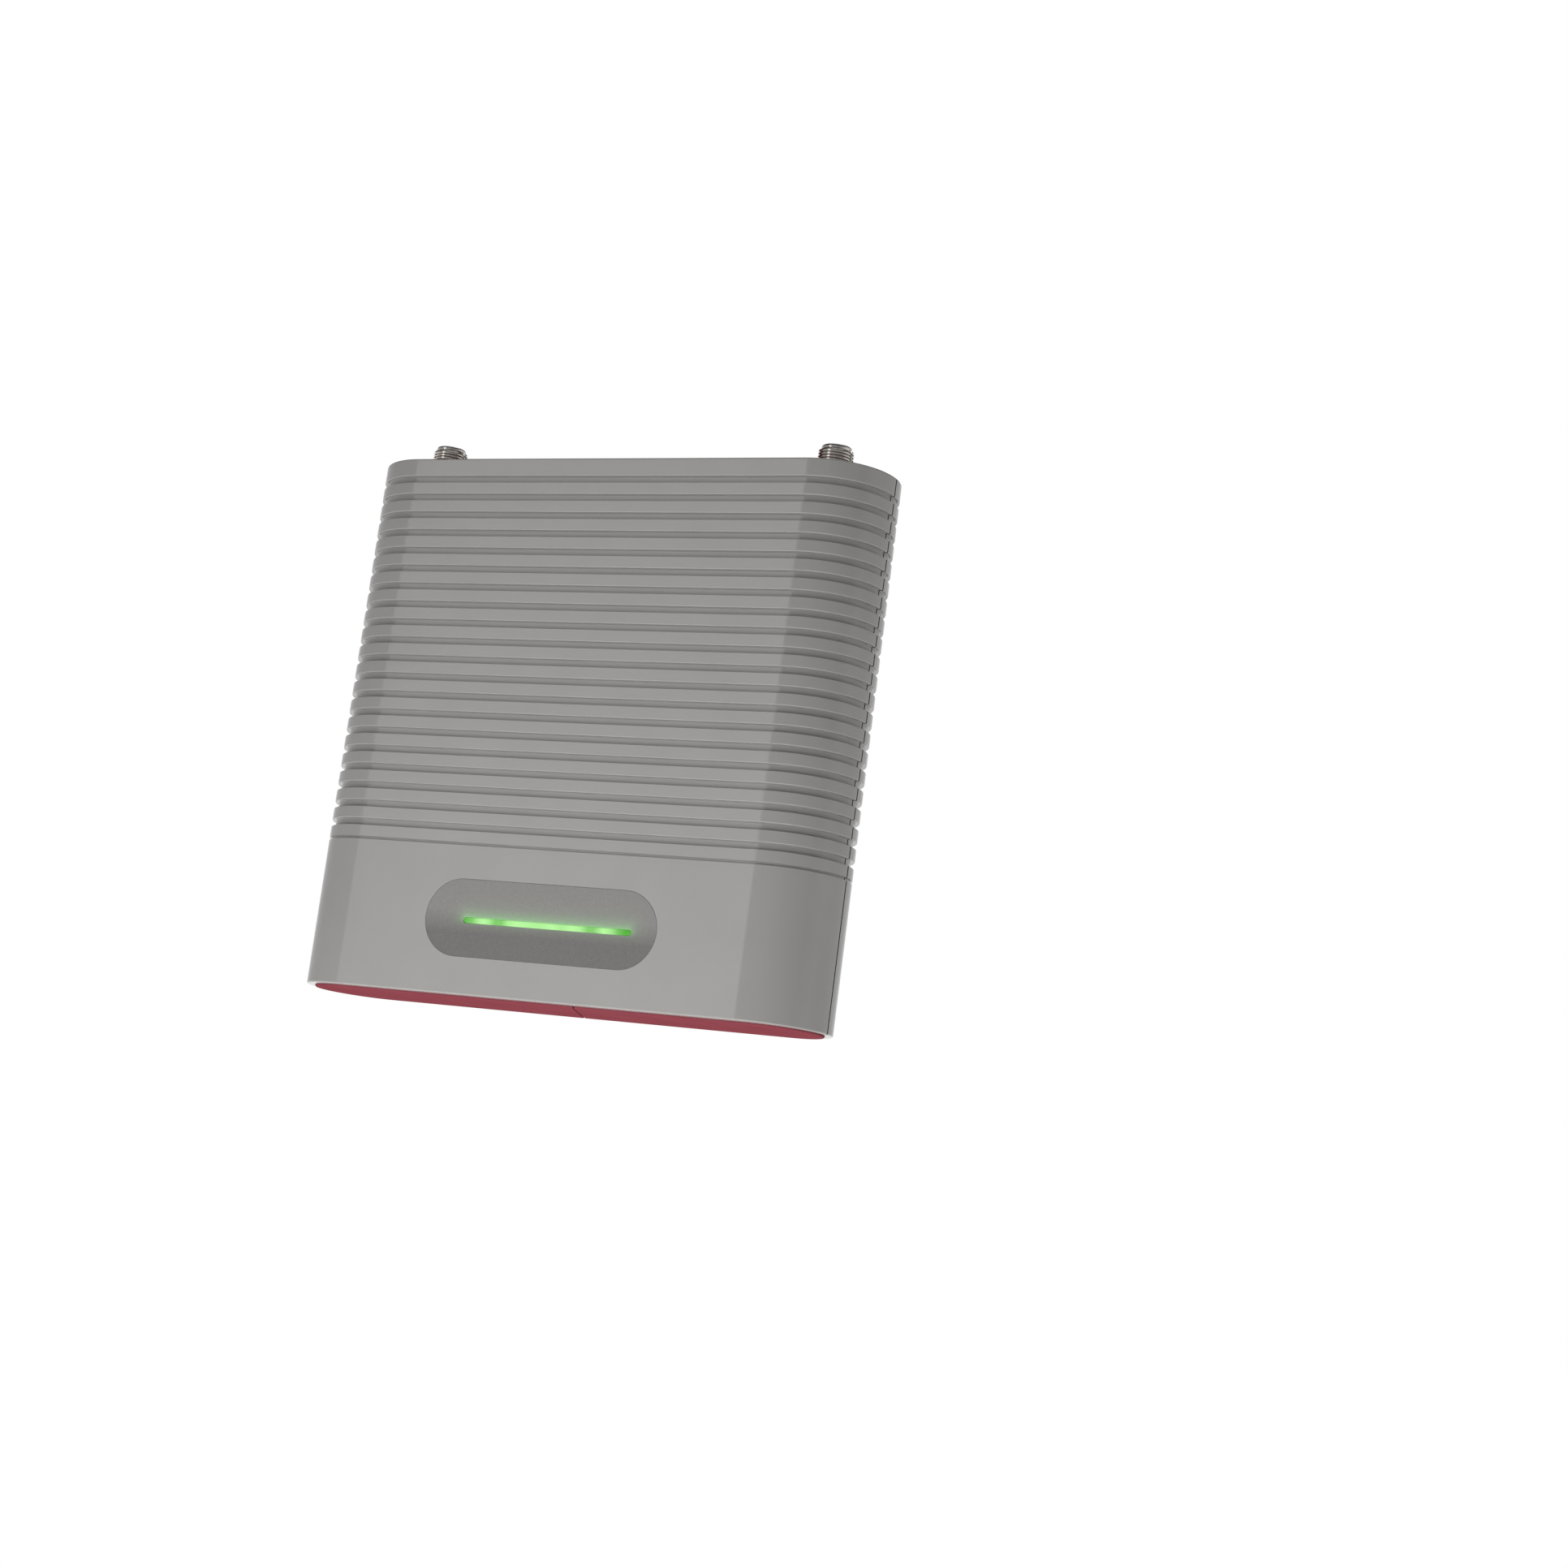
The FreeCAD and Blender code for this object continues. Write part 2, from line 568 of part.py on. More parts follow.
def main_board():
    board = box(-BOARD_HALF_WIDTH, BOARD_HALF_WIDTH, BOARD_FRONT, BOARD_BACK, BOARD_BOTTOM, BOARD_TOP)
    notch_half = JACK_HALF_X + 0.5
    y0, y1 = BOARD_FRONT - 1, BOARD_BACK + 1
    jack_notch = box(-notch_half, notch_half, y0, y1, JACK_NOTCH_BOTTOM, BOARD_TOP + 1)
    hole_radius = BOARD_SCREW_RADIUS + SCREW_SHANK_CLEARANCE
    return board.cut([jack_notch] + [rod_y(hole_radius, x, z, y0, y1) for x, z in BOARD_SCREWS])


def board_screws():
    return group(screw(BOARD_SCREW_HEAD, BOARD_SCREW_RADIUS, x, z, BOARD_FRONT, 1, BOARD_SCREW_LENGTH, 1.6)
                 for x, z in BOARD_SCREWS)


def case_screws():
    return group(screw(CASE_SCREW_HEAD, CASE_SCREW_RADIUS, side * CASE_SCREW_X, z, CASE_SCREW_SEAT, -1,
                       CASE_SCREW_LENGTH, 2.0) for side in SIDES for z in CASE_SCREW_Z)


def can_box(x, inset, y0, y1):
    return box(x - CAN_WIDTH / 2 + inset, x + CAN_WIDTH / 2 - inset, y0, y1, CAN_Z - CAN_LENGTH / 2 + inset,
               CAN_Z + CAN_LENGTH / 2 - inset)


def shield_frame(x):
    """The soldered fence with two cross walls, which part the amplifier's stages."""
    front = BOARD_FRONT - CAN_HEIGHT
    fence = can_box(x, CAN_SHEET, front, BOARD_FRONT)
    fence = fence.cut(can_box(x, 2 * CAN_SHEET, front - 1, BOARD_FRONT + 1))
    half_x, half_sheet = CAN_WIDTH / 2 - CAN_SHEET, CAN_SHEET / 2
    walls = [box(x - half_x, x + half_x, front, BOARD_FRONT, z - half_sheet, z + half_sheet)
             for z in (CAN_Z - CAN_LENGTH / 6, CAN_Z + CAN_LENGTH / 6)]
    return fence.fuse(walls)


def shield_lid(x):
    """A pressed lid that snaps over the fence."""
    front = BOARD_FRONT - CAN_HEIGHT - CAN_SHEET
    skirt_end = BOARD_FRONT - 1.0
    return can_box(x, 0, front, skirt_end).cut(can_box(x, CAN_SHEET, front + CAN_SHEET, skirt_end + 1))


def chips(places, width, length, height):
    """Flat packages on the front of the board, one at each (x, z)."""
    front = BOARD_FRONT - height
    return group(box(x - width / 2, x + width / 2, front, BOARD_FRONT, z - length / 2, z + length / 2)
                 for x, z in places)


def electrolytic_capacitors():
    cans = []
    half = ELECTROLYTIC_BASE / 2
    base_front = BOARD_FRONT - ELECTROLYTIC_BASE_HEIGHT
    can_front = BOARD_FRONT - ELECTROLYTIC_HEIGHT
    for x, z in ELECTROLYTIC_PLACES:
        base = box(x - half, x + half, base_front, BOARD_FRONT, z - half, z + half)
        cans.append(base.fuse(rod_y(ELECTROLYTIC_RADIUS, x, z, base_front, can_front)))
    return group(cans)


def power_inductors():
    coils = []
    half = INDUCTOR_SIDE / 2
    for x, z in INDUCTOR_PLACES:
        core = box(x - half, x + half, BOARD_FRONT - INDUCTOR_HEIGHT, BOARD_FRONT, z - half, z + half)
        coils.append(core.makeFillet(1.2, edges_along_y(core)))
    return group(coils)


# F ports

def port_rod(radius, x, z0, z1):
    return rod(radius, (x, PORT_Y, z0), (x, PORT_Y, z1))


def port_body(x):
    lip_bottom = PORT_TOP - PORT_LIP
    thread = port_rod(THREAD_RADIUS, x, THREAD_START, lip_bottom)
    neck = port_rod(PORT_NECK_RADIUS, x, PANEL_BOTTOM, THREAD_START)
    lip = port_rod(PORT_LIP_RADIUS, x, lip_bottom, PORT_TOP)
    flange = hexagon(PORT_FLANGE_FLATS, x, PORT_Y, PORT_FOOT, PANEL_BOTTOM)
    legs = []
    leg_bottom = BOARD_TOP - PORT_LEG_REACH
    for leg_x in (x - PORT_LEG_X, x + PORT_LEG_X):
        x0, x1 = leg_x - PORT_LEG / 2, leg_x + PORT_LEG / 2
        front = BOARD_FRONT - RUNNING_CLEARANCE
        back = BOARD_BACK + RUNNING_CLEARANCE
        legs.append(box(x0, x1, front - PORT_LEG, front, leg_bottom, PORT_FOOT))
        legs.append(box(x0, x1, back, back + PORT_LEG, leg_bottom, PORT_FOOT))
    bore = port_rod(PORT_BORE, x, PORT_FOOT + PORT_SHOULDER, PORT_TOP + 1)
    foot_bore = port_rod(PORT_SHOULDER_BORE, x, PORT_FOOT, PORT_TOP + 1)
    return thread.fuse([neck, lip, flange] + legs).cut([bore, foot_bore])


def port_insulator(x):
    return tube(PORT_BORE, CONTACT_RADIUS, x, PORT_Y, PORT_FOOT + PORT_SHOULDER, PORT_TOP - 0.5)


def port_contact(x):
    """The socket for the cable's middle wire, with a tail that steps back and lies on the board."""
    socket = tube(CONTACT_RADIUS, CONTACT_BORE, x, PORT_Y, PANEL_BOTTOM, PORT_TOP - 1.2)
    plug = port_rod(CONTACT_RADIUS, x, PORT_FOOT, PANEL_BOTTOM)
    tail_y = BOARD_FRONT - RUNNING_CLEARANCE - TAIL_RADIUS
    upper = port_rod(TAIL_RADIUS, x, TAIL_BEND_Z - TAIL_RADIUS, PORT_FOOT + 0.5)
    step = rod(TAIL_RADIUS, (x, PORT_Y, TAIL_BEND_Z), (x, tail_y, TAIL_BEND_Z))
    lower = rod(TAIL_RADIUS, (x, tail_y, BOARD_TOP - 4.0), (x, tail_y, TAIL_BEND_Z + TAIL_RADIUS))
    return socket.fuse([plug, upper, step, lower])


# Power jack

def jack_housing():
    block = box(-JACK_HALF_X, JACK_HALF_X, -JACK_HALF_Y, JACK_HALF_Y, JACK_BOTTOM, PANEL_BOTTOM)
    neck = rod(JACK_NECK_RADIUS, (0, 0, PANEL_BOTTOM - 1), (0, 0, JACK_TOP))
    bore = rod(JACK_BORE, (0, 0, JACK_FLOOR), (0, 0, JACK_TOP + 1))
    pin_hole = rod(JACK_PIN_RADIUS + 0.02, (0, 0, JACK_BOTTOM - 1), (0, 0, JACK_FLOOR + 1))
    half_slot = SPRING_WIDTH / 2 + 0.4
    slot = box(-half_slot, half_slot, -JACK_HALF_Y - 1, 0, JACK_SLOT_BOTTOM, PANEL_BOTTOM - RUNNING_CLEARANCE)
    slot = slot.cut(rod(JACK_BORE - 0.4, (0, 0, JACK_BOTTOM), (0, 0, JACK_FLOOR)))
    return block.fuse(neck).cut([bore, pin_hole, slot])


def jack_pin():
    pin = rod(JACK_PIN_RADIUS, (0, 0, JACK_BOTTOM), (0, 0, JACK_PIN_TOP))
    tip_edge = [edge for edge in pin.Edges if edge.BoundBox.ZMin > JACK_PIN_TOP - 0.01]
    tail = rod(TAIL_RADIUS, (0, 0, JACK_TAIL_BOTTOM), (0, 0, JACK_BOTTOM))
    return pin.makeChamfer(0.3, tip_edge).fuse(tail)


def jack_spring():
    """The leaf that presses on the plug's sleeve: up from its rolled root, over a bump, and back."""
    half = SPRING_SHEET / 2
    left_side = [
        (SPRING_ROOT_Y - half, SPRING_ROOT_Z),
        (SPRING_BUMP_Y - SPRING_SHEET, SPRING_BUMP_Z),
        (SPRING_TIP_Y - half, SPRING_TIP_Z),
    ]
    right_side = [
        (SPRING_TIP_Y + half, SPRING_TIP_Z + 0.1),
        (SPRING_BUMP_Y, SPRING_BUMP_Z),
        (SPRING_ROOT_Y + half, SPRING_ROOT_Z),
    ]
    leaf = prism_x(left_side + right_side, -SPRING_WIDTH / 2, SPRING_WIDTH / 2)
    roll = rod(0.35, (-SPRING_WIDTH / 2, SPRING_ROOT_Y, SPRING_ROOT_Z),
               (SPRING_WIDTH / 2, SPRING_ROOT_Y, SPRING_ROOT_Z))
    return leaf.fuse(roll)


def jack_terminal():
    """The lug that the leaf's root sits on, with a tail to the board."""
    half = SPRING_WIDTH / 2
    lug = box(-half, half, SPRING_ROOT_Y - 0.4, SPRING_ROOT_Y + 0.4, JACK_SLOT_BOTTOM, SPRING_ROOT_Z - 0.5)
    front = -JACK_HALF_Y - 0.7
    back = front + TERMINAL_SHEET
    link_bottom = JACK_SLOT_BOTTOM + RUNNING_CLEARANCE
    link_top = link_bottom + 0.75
    tail_left, tail_right = 1.4, 2.4
    link = box(-0.6, 0.6, front, SPRING_ROOT_Y, link_bottom, link_top)
    bridge = box(-0.6, tail_right, front, back, link_bottom, link_top)
    tail = box(tail_left, tail_right, front, back, JACK_TAIL_BOTTOM, link_top)
    foot = box(tail_left, tail_right, front, BOARD_FRONT - RUNNING_CLEARANCE, JACK_TAIL_BOTTOM,
               JACK_TAIL_BOTTOM + TERMINAL_SHEET)
    return lug.fuse([link, bridge, tail, foot])


def all_nodes():
    blank = blank_front_shell()
    nodes = {
        "front_shell": front_shell(blank),
        "rear_shell": rear_shell(blank),
        "top_panel": top_panel(),
        "bottom_cover_left": bottom_cover_half(LEFT),
        "bottom_cover_right": bottom_cover_half(RIGHT),
        "window_lens": window_lens(),
        "lens_adhesive": lens_adhesive(),
        "light_guide": light_guide(),
        "led_board": led_board(),
        "status_leds": status_leds(),
        "led_board_screws": led_board_screws(),
        "led_header_block": led_header_block(),
        "led_header_pins": led_header_pins(),
        "main_board": main_board(),
        "board_screws": board_screws(),
        "case_screws": case_screws(),
        "power_amplifiers": chips(AMPLIFIER_PLACES, 9.0, 9.0, 1.4),
        "duplexer_filters": chips(FILTER_PLACES, 26.0, 9.0, 3.2),
        "surface_wave_filters": chips(SMALL_FILTER_PLACES, 3.8, 3.8, 1.2),
        "low_noise_amplifiers": chips(LOW_NOISE_PLACES, 4.0, 4.0, 0.9),
        "control_chip": chips([(0.0, 82.0)], 10.0, 10.0, 1.2),
        "oscillator": chips([(0.0, 93.5)], 5.0, 3.2, 1.3),
        "voltage_regulators": chips(REGULATOR_PLACES, 6.5, 6.1, 2.3),
        "power_inductors": power_inductors(),
        "electrolytic_capacitors": electrolytic_capacitors(),
        "ceramic_capacitors": chips(CERAMIC_PLACES, 1.6, 3.2, 1.2),
        "power_jack_housing": jack_housing(),
        "power_jack_pin": jack_pin(),
        "power_jack_spring": jack_spring(),
        "power_jack_terminal": jack_terminal(),
    }
    for name, side in (("left", LEFT), ("right", RIGHT)):
        nodes["shield_frame_" + name] = shield_frame(side * CAN_X)
        nodes["shield_lid_" + name] = shield_lid(side * CAN_X)
        nodes["thermal_pad_" + name] = pad_block(side, BOARD_BACK, BOARD_BACK + PAD_THICKNESS)
    for name, side in (("outside_port_", LEFT), ("inside_port_", RIGHT)):
        x = side * PORT_X
        nodes[name + "body"] = port_body(x)
        nodes[name + "insulator"] = port_insulator(x)
        nodes[name + "contact"] = port_contact(x)
    return nodes


os.makedirs("parts", exist_ok=True)
for node, shape in all_nodes().items():
    if not shape.isValid():
        raise ValueError(node + " is not a valid shape")
    shape.exportStep(os.path.join("parts", node + ".step"))
    extent = shape.BoundBox
    print("%-26s solids %2d  volume %9.1f  x %7.2f %7.2f  y %7.2f %7.2f  z %7.2f %7.2f" % (
        node, len(shape.Solids), shape.Volume, extent.XMin, extent.XMax, extent.YMin, extent.YMax,
        extent.ZMin, extent.ZMax))
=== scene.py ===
import math

import bmesh
import bpy
from mathutils import Matrix, Vector


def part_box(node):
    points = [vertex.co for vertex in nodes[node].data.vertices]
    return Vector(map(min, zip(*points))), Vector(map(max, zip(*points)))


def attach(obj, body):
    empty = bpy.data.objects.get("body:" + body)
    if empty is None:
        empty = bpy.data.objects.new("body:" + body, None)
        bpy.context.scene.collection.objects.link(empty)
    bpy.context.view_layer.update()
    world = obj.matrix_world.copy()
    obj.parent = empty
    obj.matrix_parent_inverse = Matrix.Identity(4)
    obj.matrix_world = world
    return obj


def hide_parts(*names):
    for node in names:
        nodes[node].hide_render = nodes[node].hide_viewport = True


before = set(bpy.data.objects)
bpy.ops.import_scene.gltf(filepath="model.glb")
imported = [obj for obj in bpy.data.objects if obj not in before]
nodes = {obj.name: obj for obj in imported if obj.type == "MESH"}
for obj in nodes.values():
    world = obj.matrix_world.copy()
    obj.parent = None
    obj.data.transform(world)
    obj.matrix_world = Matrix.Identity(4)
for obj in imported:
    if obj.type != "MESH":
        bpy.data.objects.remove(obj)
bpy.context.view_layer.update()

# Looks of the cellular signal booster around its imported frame.
# Shapes are in millimetres, and piece_from() turns them into metres. +Z is up, the window faces -Y, and the
# origin is at the middle of the underside.

MM = 0.001
RIGHT, LEFT = 1, -1
SIDES = (RIGHT, LEFT)

# Case
END_RADIUS = 18.0
HALF_FLAT = 58.0
SHELL_BOTTOM = 0.5
SHELL_TOP = 145.0
INNER_RADIUS = 15.6
OPENING_RADIUS = 14.0        # the opening that shows each cover, longer than the case's own round ends allow
OPENING_HALF_FLAT = 60.2
RIM_HEIGHT = 2.5
RIM_ROUNDING = 0.4
CHANNEL_DEPTH = 0.6          # the groove behind each rim that holds the edge of a cover
CHANNEL_HEIGHT = 1.65
SEAM_GAP = 0.45
SEAM_ROUNDING = 0.12
SEAM_STEPS = 3
SEAM_SHADE_DEPTH = 0.04            # how far in from the seam the mating faces carry painted shade instead of paint
GROOVE_COUNT = 20
GROOVE_PITCH = 5.0
GROOVE_HALF = 1.1
GROOVE_DEPTH = 1.05
GROOVE_TOP_LIP = 0.26
GROOVE_BOTTOM_LIP = 0.12
GROOVE_FILLET = 0.12
FIRST_GROOVE_DROP = 5.7
LINE_DROP = 105.1
LINE_HALF = 0.4
LINE_DEPTH = 0.6
LINE_TOP_SLOPE = 0.15
LINE_BOTTOM_SLOPE = 0.05
CORE_RADIUS = 16.3           # how far bosses reach into the wall
END_STEPS = 24               # facets round a quarter turn of an end
FIRST_TURN = 2.4             # degrees round an end at which it takes over from the seam's lip
TONGUE_REACH = 1.6
TONGUE_INSET = (1.05, 0.15)  # its inner and outer faces, in from the wall's own inside
TONGUE_ROOT = 0.05           # how far its root reaches into the wall

# Window and light bar
WINDOW_LENGTH = 68.0
WINDOW_HEIGHT = 20.4
WINDOW_Z = 20.5
WINDOW_GAP = 0.04
WINDOW_ROUNDING = 0.08
LENS_LIP = 1.6
LENS_BACK = -15.4
LENS_LIP_BACK = -14.6
BAR_CLEARANCE = 0.12
BAR_SLOT_FLARE = 0.1
BAR_ROUNDING = 0.25
BAR_STEPS = 10
BAR_FOOT = (1.2, 1.0)        # how far the foot behind the lens stands out, and its thickness
BAR_LENGTH = 49.0
BAR_HEIGHT = 1.35
BAR_X = 2.2
BAR_Z = 19.95

# Rear side and inner posts
LAND_HALF_WIDTH = 54.0
LAND_BOTTOM = 56.0
LAND_TOP = 122.0
LAND_CORNER = 4.0
LAND_FLOOR = 16.95
LAND_LIP = 0.15
KEYHOLE_X = 45.0
KEYHOLE_Z = 108.0
KEYHOLE_RISE = 8.0
KEYHOLE_HEAD = 4.25
KEYHOLE_NECK = 2.1
KEYHOLE_LIP = 0.2
SCREW_X = 66.0
SCREW_Z = (14.0, 122.0)
SCREW_BORE = 1.7
SCREW_COUNTERBORE = 3.0
SCREW_SEAT = 9.0
SCREW_CUT_FROM = 11.5        # where the counterbore's cut through the curved wall starts
POST_RADIUS = 4.2
POST_START = 0.3             # how far the posts stop from the middle plane
POST_BORE = 1.55             # in the front shell, where the case screws hold
POST_BORE_END = 10.0
LED_POST_X = 42.0
LED_POST = (2.5, 1.05, 11.0, 15.2)       # radius, bore, where the post starts and where its bore ends
BOSSES = ((-54.0, 11.0), (54.0, 11.0), (-54.0, 127.0), (54.0, 127.0), (0.0, 66.0))
BOSS = (3.0, 1.3, 2.1, 9.1)   # the same for each boss under the main board
PEDESTAL_X = 34.0
PEDESTAL_HALF = 14.0
PEDESTAL_LEVEL = 3.1
PEDESTAL_Z = (62.0, 92.0)

# Panel, cover and ports
COVER_GAP = 0.15
COVER_ROUNDING = 0.4
COVER_FLANGE = (3.15, 4.45)  # the levels between which the cover's edge fills the channel
PANEL_BOTTOM = 141.0
PANEL_FLANGE_TOP = 142.35
PANEL_TOP = 144.0
PANEL_HOLE_LIP = 0.25
PORT_X = 58.7
PORT_Y = -1.5
PORT_FOOT = 138.5
PORT_FLANGE_FLATS = 11.1
PORT_FLANGE_EDGE = (0.94, 0.3)           # how far its edges are drawn in, as a share, and over what height
PORT_STEPS = 72
THREAD_PITCH = 25.4 / 32
THREAD_RADIUS = 9.525 / 2
THREAD_ROOT = THREAD_RADIUS - 0.5
THREAD_START = 144.1
THREAD_RISE = (0.1, 0.5)     # where the thread starts to rise from its root, and over what length
THREAD_FALL = (0.05, 0.3)    # the same, back from its end
THREAD_TRIM = (0.15, 0.04)   # how far inside its start and its end the helix is held
THREAD_END = 151.95
THREAD_FORM = (0.0, 0.28, 0.70, 1.0, 0.70, 0.28)     # height along one pitch, from root to crest and back
PORT_TOP = 152.9
PORT_LIP_RADIUS = 4.0
PORT_LIP_FOOT = (0.2, 0.15)  # the bevel between the thread and the lip
PORT_LIP_ROUNDING = 0.4
PORT_BORE = 2.9
PORT_BORE_LIP = 0.25
PORT_SHOULDER = 0.8
PORT_SHOULDER_BORE = 1.8
PORT_LEG_HALF = 0.5
PORT_LEG_X = 2.2
PORT_LEG_BOTTOM = 130.5
PORT_LEG_ROOT = 0.1          # how far the legs reach into the flange
PORT_LEG_Y = ((-0.55, 0.45), (2.15, 3.15))
JACK_NECK_RADIUS = 4.6
JOINT_FRONT = (11.15, -14.0)
JOINT_REAR = (-0.45, 14.0)
JOINT_GAP = 0.35
JOINT_ROUNDING = 0.3
HOLE_STEPS = 48

# Making
PAST = 1.0                   # how far a cutter reaches past the face that it opens
SHARP_ANGLE = 32.0           # edges that turn by more than this stay sharp
PORT_SHARP_ANGLE = 40.0

# Colours and light
PAINT_DARK = (0.247, 0.240, 0.231)
PAINT_LIGHT = (0.259, 0.252, 0.242)
# Near-black painted shade on the shells' mating faces, which darkens the seam gap
SEAM_PAINTED_SHADE = (0.020, 0.020, 0.019)
RED_DARK = (0.180, 0.040, 0.050)
RED_LIGHT = (0.197, 0.046, 0.057)
# The window's own smoked grey, darkened below by painted shade and lightened above by a painted reflection
WINDOW_SHADED_LOWER = (0.142, 0.138, 0.132)
WINDOW_REFLECTING_UPPER = (0.221, 0.214, 0.207)
WINDOW_REFLECTION_FADE = (16.5, 22.5)   # the levels between which the window goes from its painted shade below to its painted reflection above
GLOW = (0.16, 0.62, 0.14)
GLOW_STRENGTH = 0.75
GLOW_REACH = 1.3             # how far from the bar its spilt light falls to a third
GLOW_RISE = 0.2
GLOW_BELOW = 2.4             # how much faster it falls below the bar
GLOW_INSET = 1.0             # how far from the bar's ends it starts to fall
GUIDE = (0.012, 0.11, 0.008)
BAR_DIM = (0.045, 0.27, 0.008)
BAR_BRIGHT = (0.46, 0.82, 0.34)
BAR_LEVELS = (       # how bright the bar is from its left end (0) to its right end (1)
    (0.00, 0.10), (0.05, 0.35), (0.09, 0.85), (0.12, 1.00), (0.155, 0.80), (0.19, 0.37), (0.23, 0.37),
    (0.27, 0.85), (0.31, 1.00), (0.46, 0.88), (0.54, 1.00), (0.59, 0.82), (0.65, 1.00), (0.70, 0.90),
    (0.75, 0.40), (0.78, 0.40), (0.84, 1.00), (0.88, 0.80), (0.93, 0.25), (0.97, 0.05),
)
SURROUND_LEVEL = 0.32
SURROUND_SLOPE = (0.0, -0.086, -0.07)
FLOOR_GLOW = 0.77
# What shiny surfaces see: brightness by height, from level (0) to straight up (1), times brightness by
# bearing, where 0 and 1 are the left, 0.25 the front, 0.5 the right and 0.75 the back
BAND_GREY = 0.8
CEILING = ((0.0, 1.1), (0.3, 1.0), (0.42, 0.12), (0.82, 0.06), (0.92, 1.4), (1.0, 1.9))
AROUND = ((0.0, 0.5), (0.29, 0.5), (0.33, 0.35), (0.46, 0.35), (0.52, 1.0), (0.85, 1.0), (1.0, 0.5))
FLOOR_GREY = 0.85
FLOOR_DROP = 700.0
FLOOR_HALF = 60000.0
# The soft lights look at the middle of the case: azimuth, elevation, distance, width, height, power.
# Azimuth 0 is straight in front, and + is towards +X.
LIGHT_TARGET = 72.5
LIGHTS = {
    "strip_light": (-28, 8, 1.5, 0.42, 0.80, 1.6),
    "low_light": (0, -52, 0.27, 0.40, 0.26, 0.56),
}

# Camera: round from the front towards +X and a little below the case, with a tilted horizon
CAMERA_AZIMUTH = 29.18
CAMERA_ELEVATION = -9.94
CAMERA_DISTANCE = 0.7176
CAMERA_HEADING = 25.119
CAMERA_PITCH = 9.540
CAMERA_ROLL = 7.397
CAMERA_LENS = 61.94


def make_camera():
    low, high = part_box("front_shell")
    middle = Vector((0, 0, (low.z + high.z) / 2))
    azimuth, elevation = math.radians(CAMERA_AZIMUTH), math.radians(CAMERA_ELEVATION)
    level = math.cos(elevation)
    outward = Vector((math.sin(azimuth) * level, -math.cos(azimuth) * level, math.sin(elevation)))
    data = bpy.data.cameras.new("camera")
    data.lens = CAMERA_LENS
    data.sensor_width = 36.0
    data.clip_end = 100.0
    camera = bpy.data.objects.new("camera", data)
    bpy.context.scene.collection.objects.link(camera)
    heading = Matrix.Rotation(math.radians(CAMERA_HEADING), 4, "Z")
    pitch = Matrix.Rotation(math.radians(90 + CAMERA_PITCH), 4, "X")
    roll = Matrix.Rotation(math.radians(CAMERA_ROLL), 4, "Z")
    camera.matrix_world = Matrix.Translation(middle + outward * CAMERA_DISTANCE) @ heading @ pitch @ roll
    bpy.context.scene.camera = camera


# Mesh building

class Shape:
    """Points and faces of a piece while it is put together, in millimetres."""

    def __init__(self):
        self.points = []
        self.faces = []

    def ring(self, points):
        first = len(self.points)
        self.points += [tuple(point) for point in points]
        return list(range(first, len(self.points)))

    def skin(self, rings, close=False):
        """Faces between each ring and the next, and back to the first if the rings close on themselves."""
        pairs = list(zip(rings, rings[1:]))
        if close:
            pairs.append((rings[-1], rings[0]))
        for lower, upper in pairs:
            count = len(lower)
            for i in range(count):
                j = (i + 1) % count
                self.faces.append((lower[i], lower[j], upper[j], upper[i]))

    def cap(self, ring):
        self.faces.append(tuple(ring))


def mesh_object(name, shape, weld=False):
    """A plain object without a material, whose faces look outward."""
    mesh = bpy.data.meshes.new(name)
    mesh.from_pydata([Vector(point) * MM for point in shape.points], [], shape.faces)
    work = bmesh.new()
    work.from_mesh(mesh)
    if weld:
        bmesh.ops.remove_doubles(work, verts=work.verts, dist=1e-7)
    bmesh.ops.recalc_face_normals(work, faces=work.faces)
    work.to_mesh(mesh)
    work.free()
    made = bpy.data.objects.new(name, mesh)
    bpy.context.scene.collection.objects.link(made)
    return made


def piece_from(name, shape, material, stands_for):
    """A piece that rides on the case in place of CAD nodes."""
    piece = mesh_object(name, shape, weld=True)
    piece.data.materials.append(material)
    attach(piece, "root")
    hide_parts(*stands_for)
    return piece


def cut(piece, shape):
    """Takes a closed shape, which may be several separate bodies, out of a piece."""
    cutter = mesh_object("cutter", shape)
    modifier = piece.modifiers.new("cut", "BOOLEAN")
    modifier.operation = "DIFFERENCE"
    modifier.solver = "EXACT"
    modifier.object = cutter
    bpy.context.view_layer.update()
    result = bpy.data.meshes.new_from_object(piece.evaluated_get(bpy.context.evaluated_depsgraph_get()))
    piece.modifiers.clear()
    old = piece.data
    piece.data = result
    result.name = old.name
    bpy.data.meshes.remove(old)
    bpy.data.objects.remove(cutter)


def add_islands(piece, shape):
    """Adds closed bodies, such as bosses inside a wall, to a piece's mesh."""
    extra = mesh_object("extra", shape)
    work = bmesh.new()
    work.from_mesh(piece.data)
    work.from_mesh(extra.data)
    work.to_mesh(piece.data)
    work.free()
    bpy.data.objects.remove(extra)


def finish_shading(piece, sharp_angle=SHARP_ANGLE):
    """Smooth shading that breaks at sharp edges and keeps large flats flat."""
    mesh = piece.data
    mesh.shade_smooth()
    mesh.set_sharp_from_angle(angle=math.radians(sharp_angle))
    modifier = piece.modifiers.new("weighted", "WEIGHTED_NORMAL")
    modifier.keep_sharp = True
    modifier.weight = 60


def arc(centre_a, centre_b, radius, start, end, steps):
    """Points on an arc in a plane, by angle in degrees."""
    turns = [math.radians(start + (end - start) * i / steps) for i in range(steps + 1)]
    return [(centre_a + radius * math.cos(turn), centre_b + radius * math.sin(turn)) for turn in turns]


def stadium_ring(radius, z, half_flat):
    right = arc(half_flat, 0, radius, -90, 90, 2 * END_STEPS)
    left = arc(-half_flat, 0, radius, 90, 270, 2 * END_STEPS)
    return [(x, y, z) for x, y in right + left]


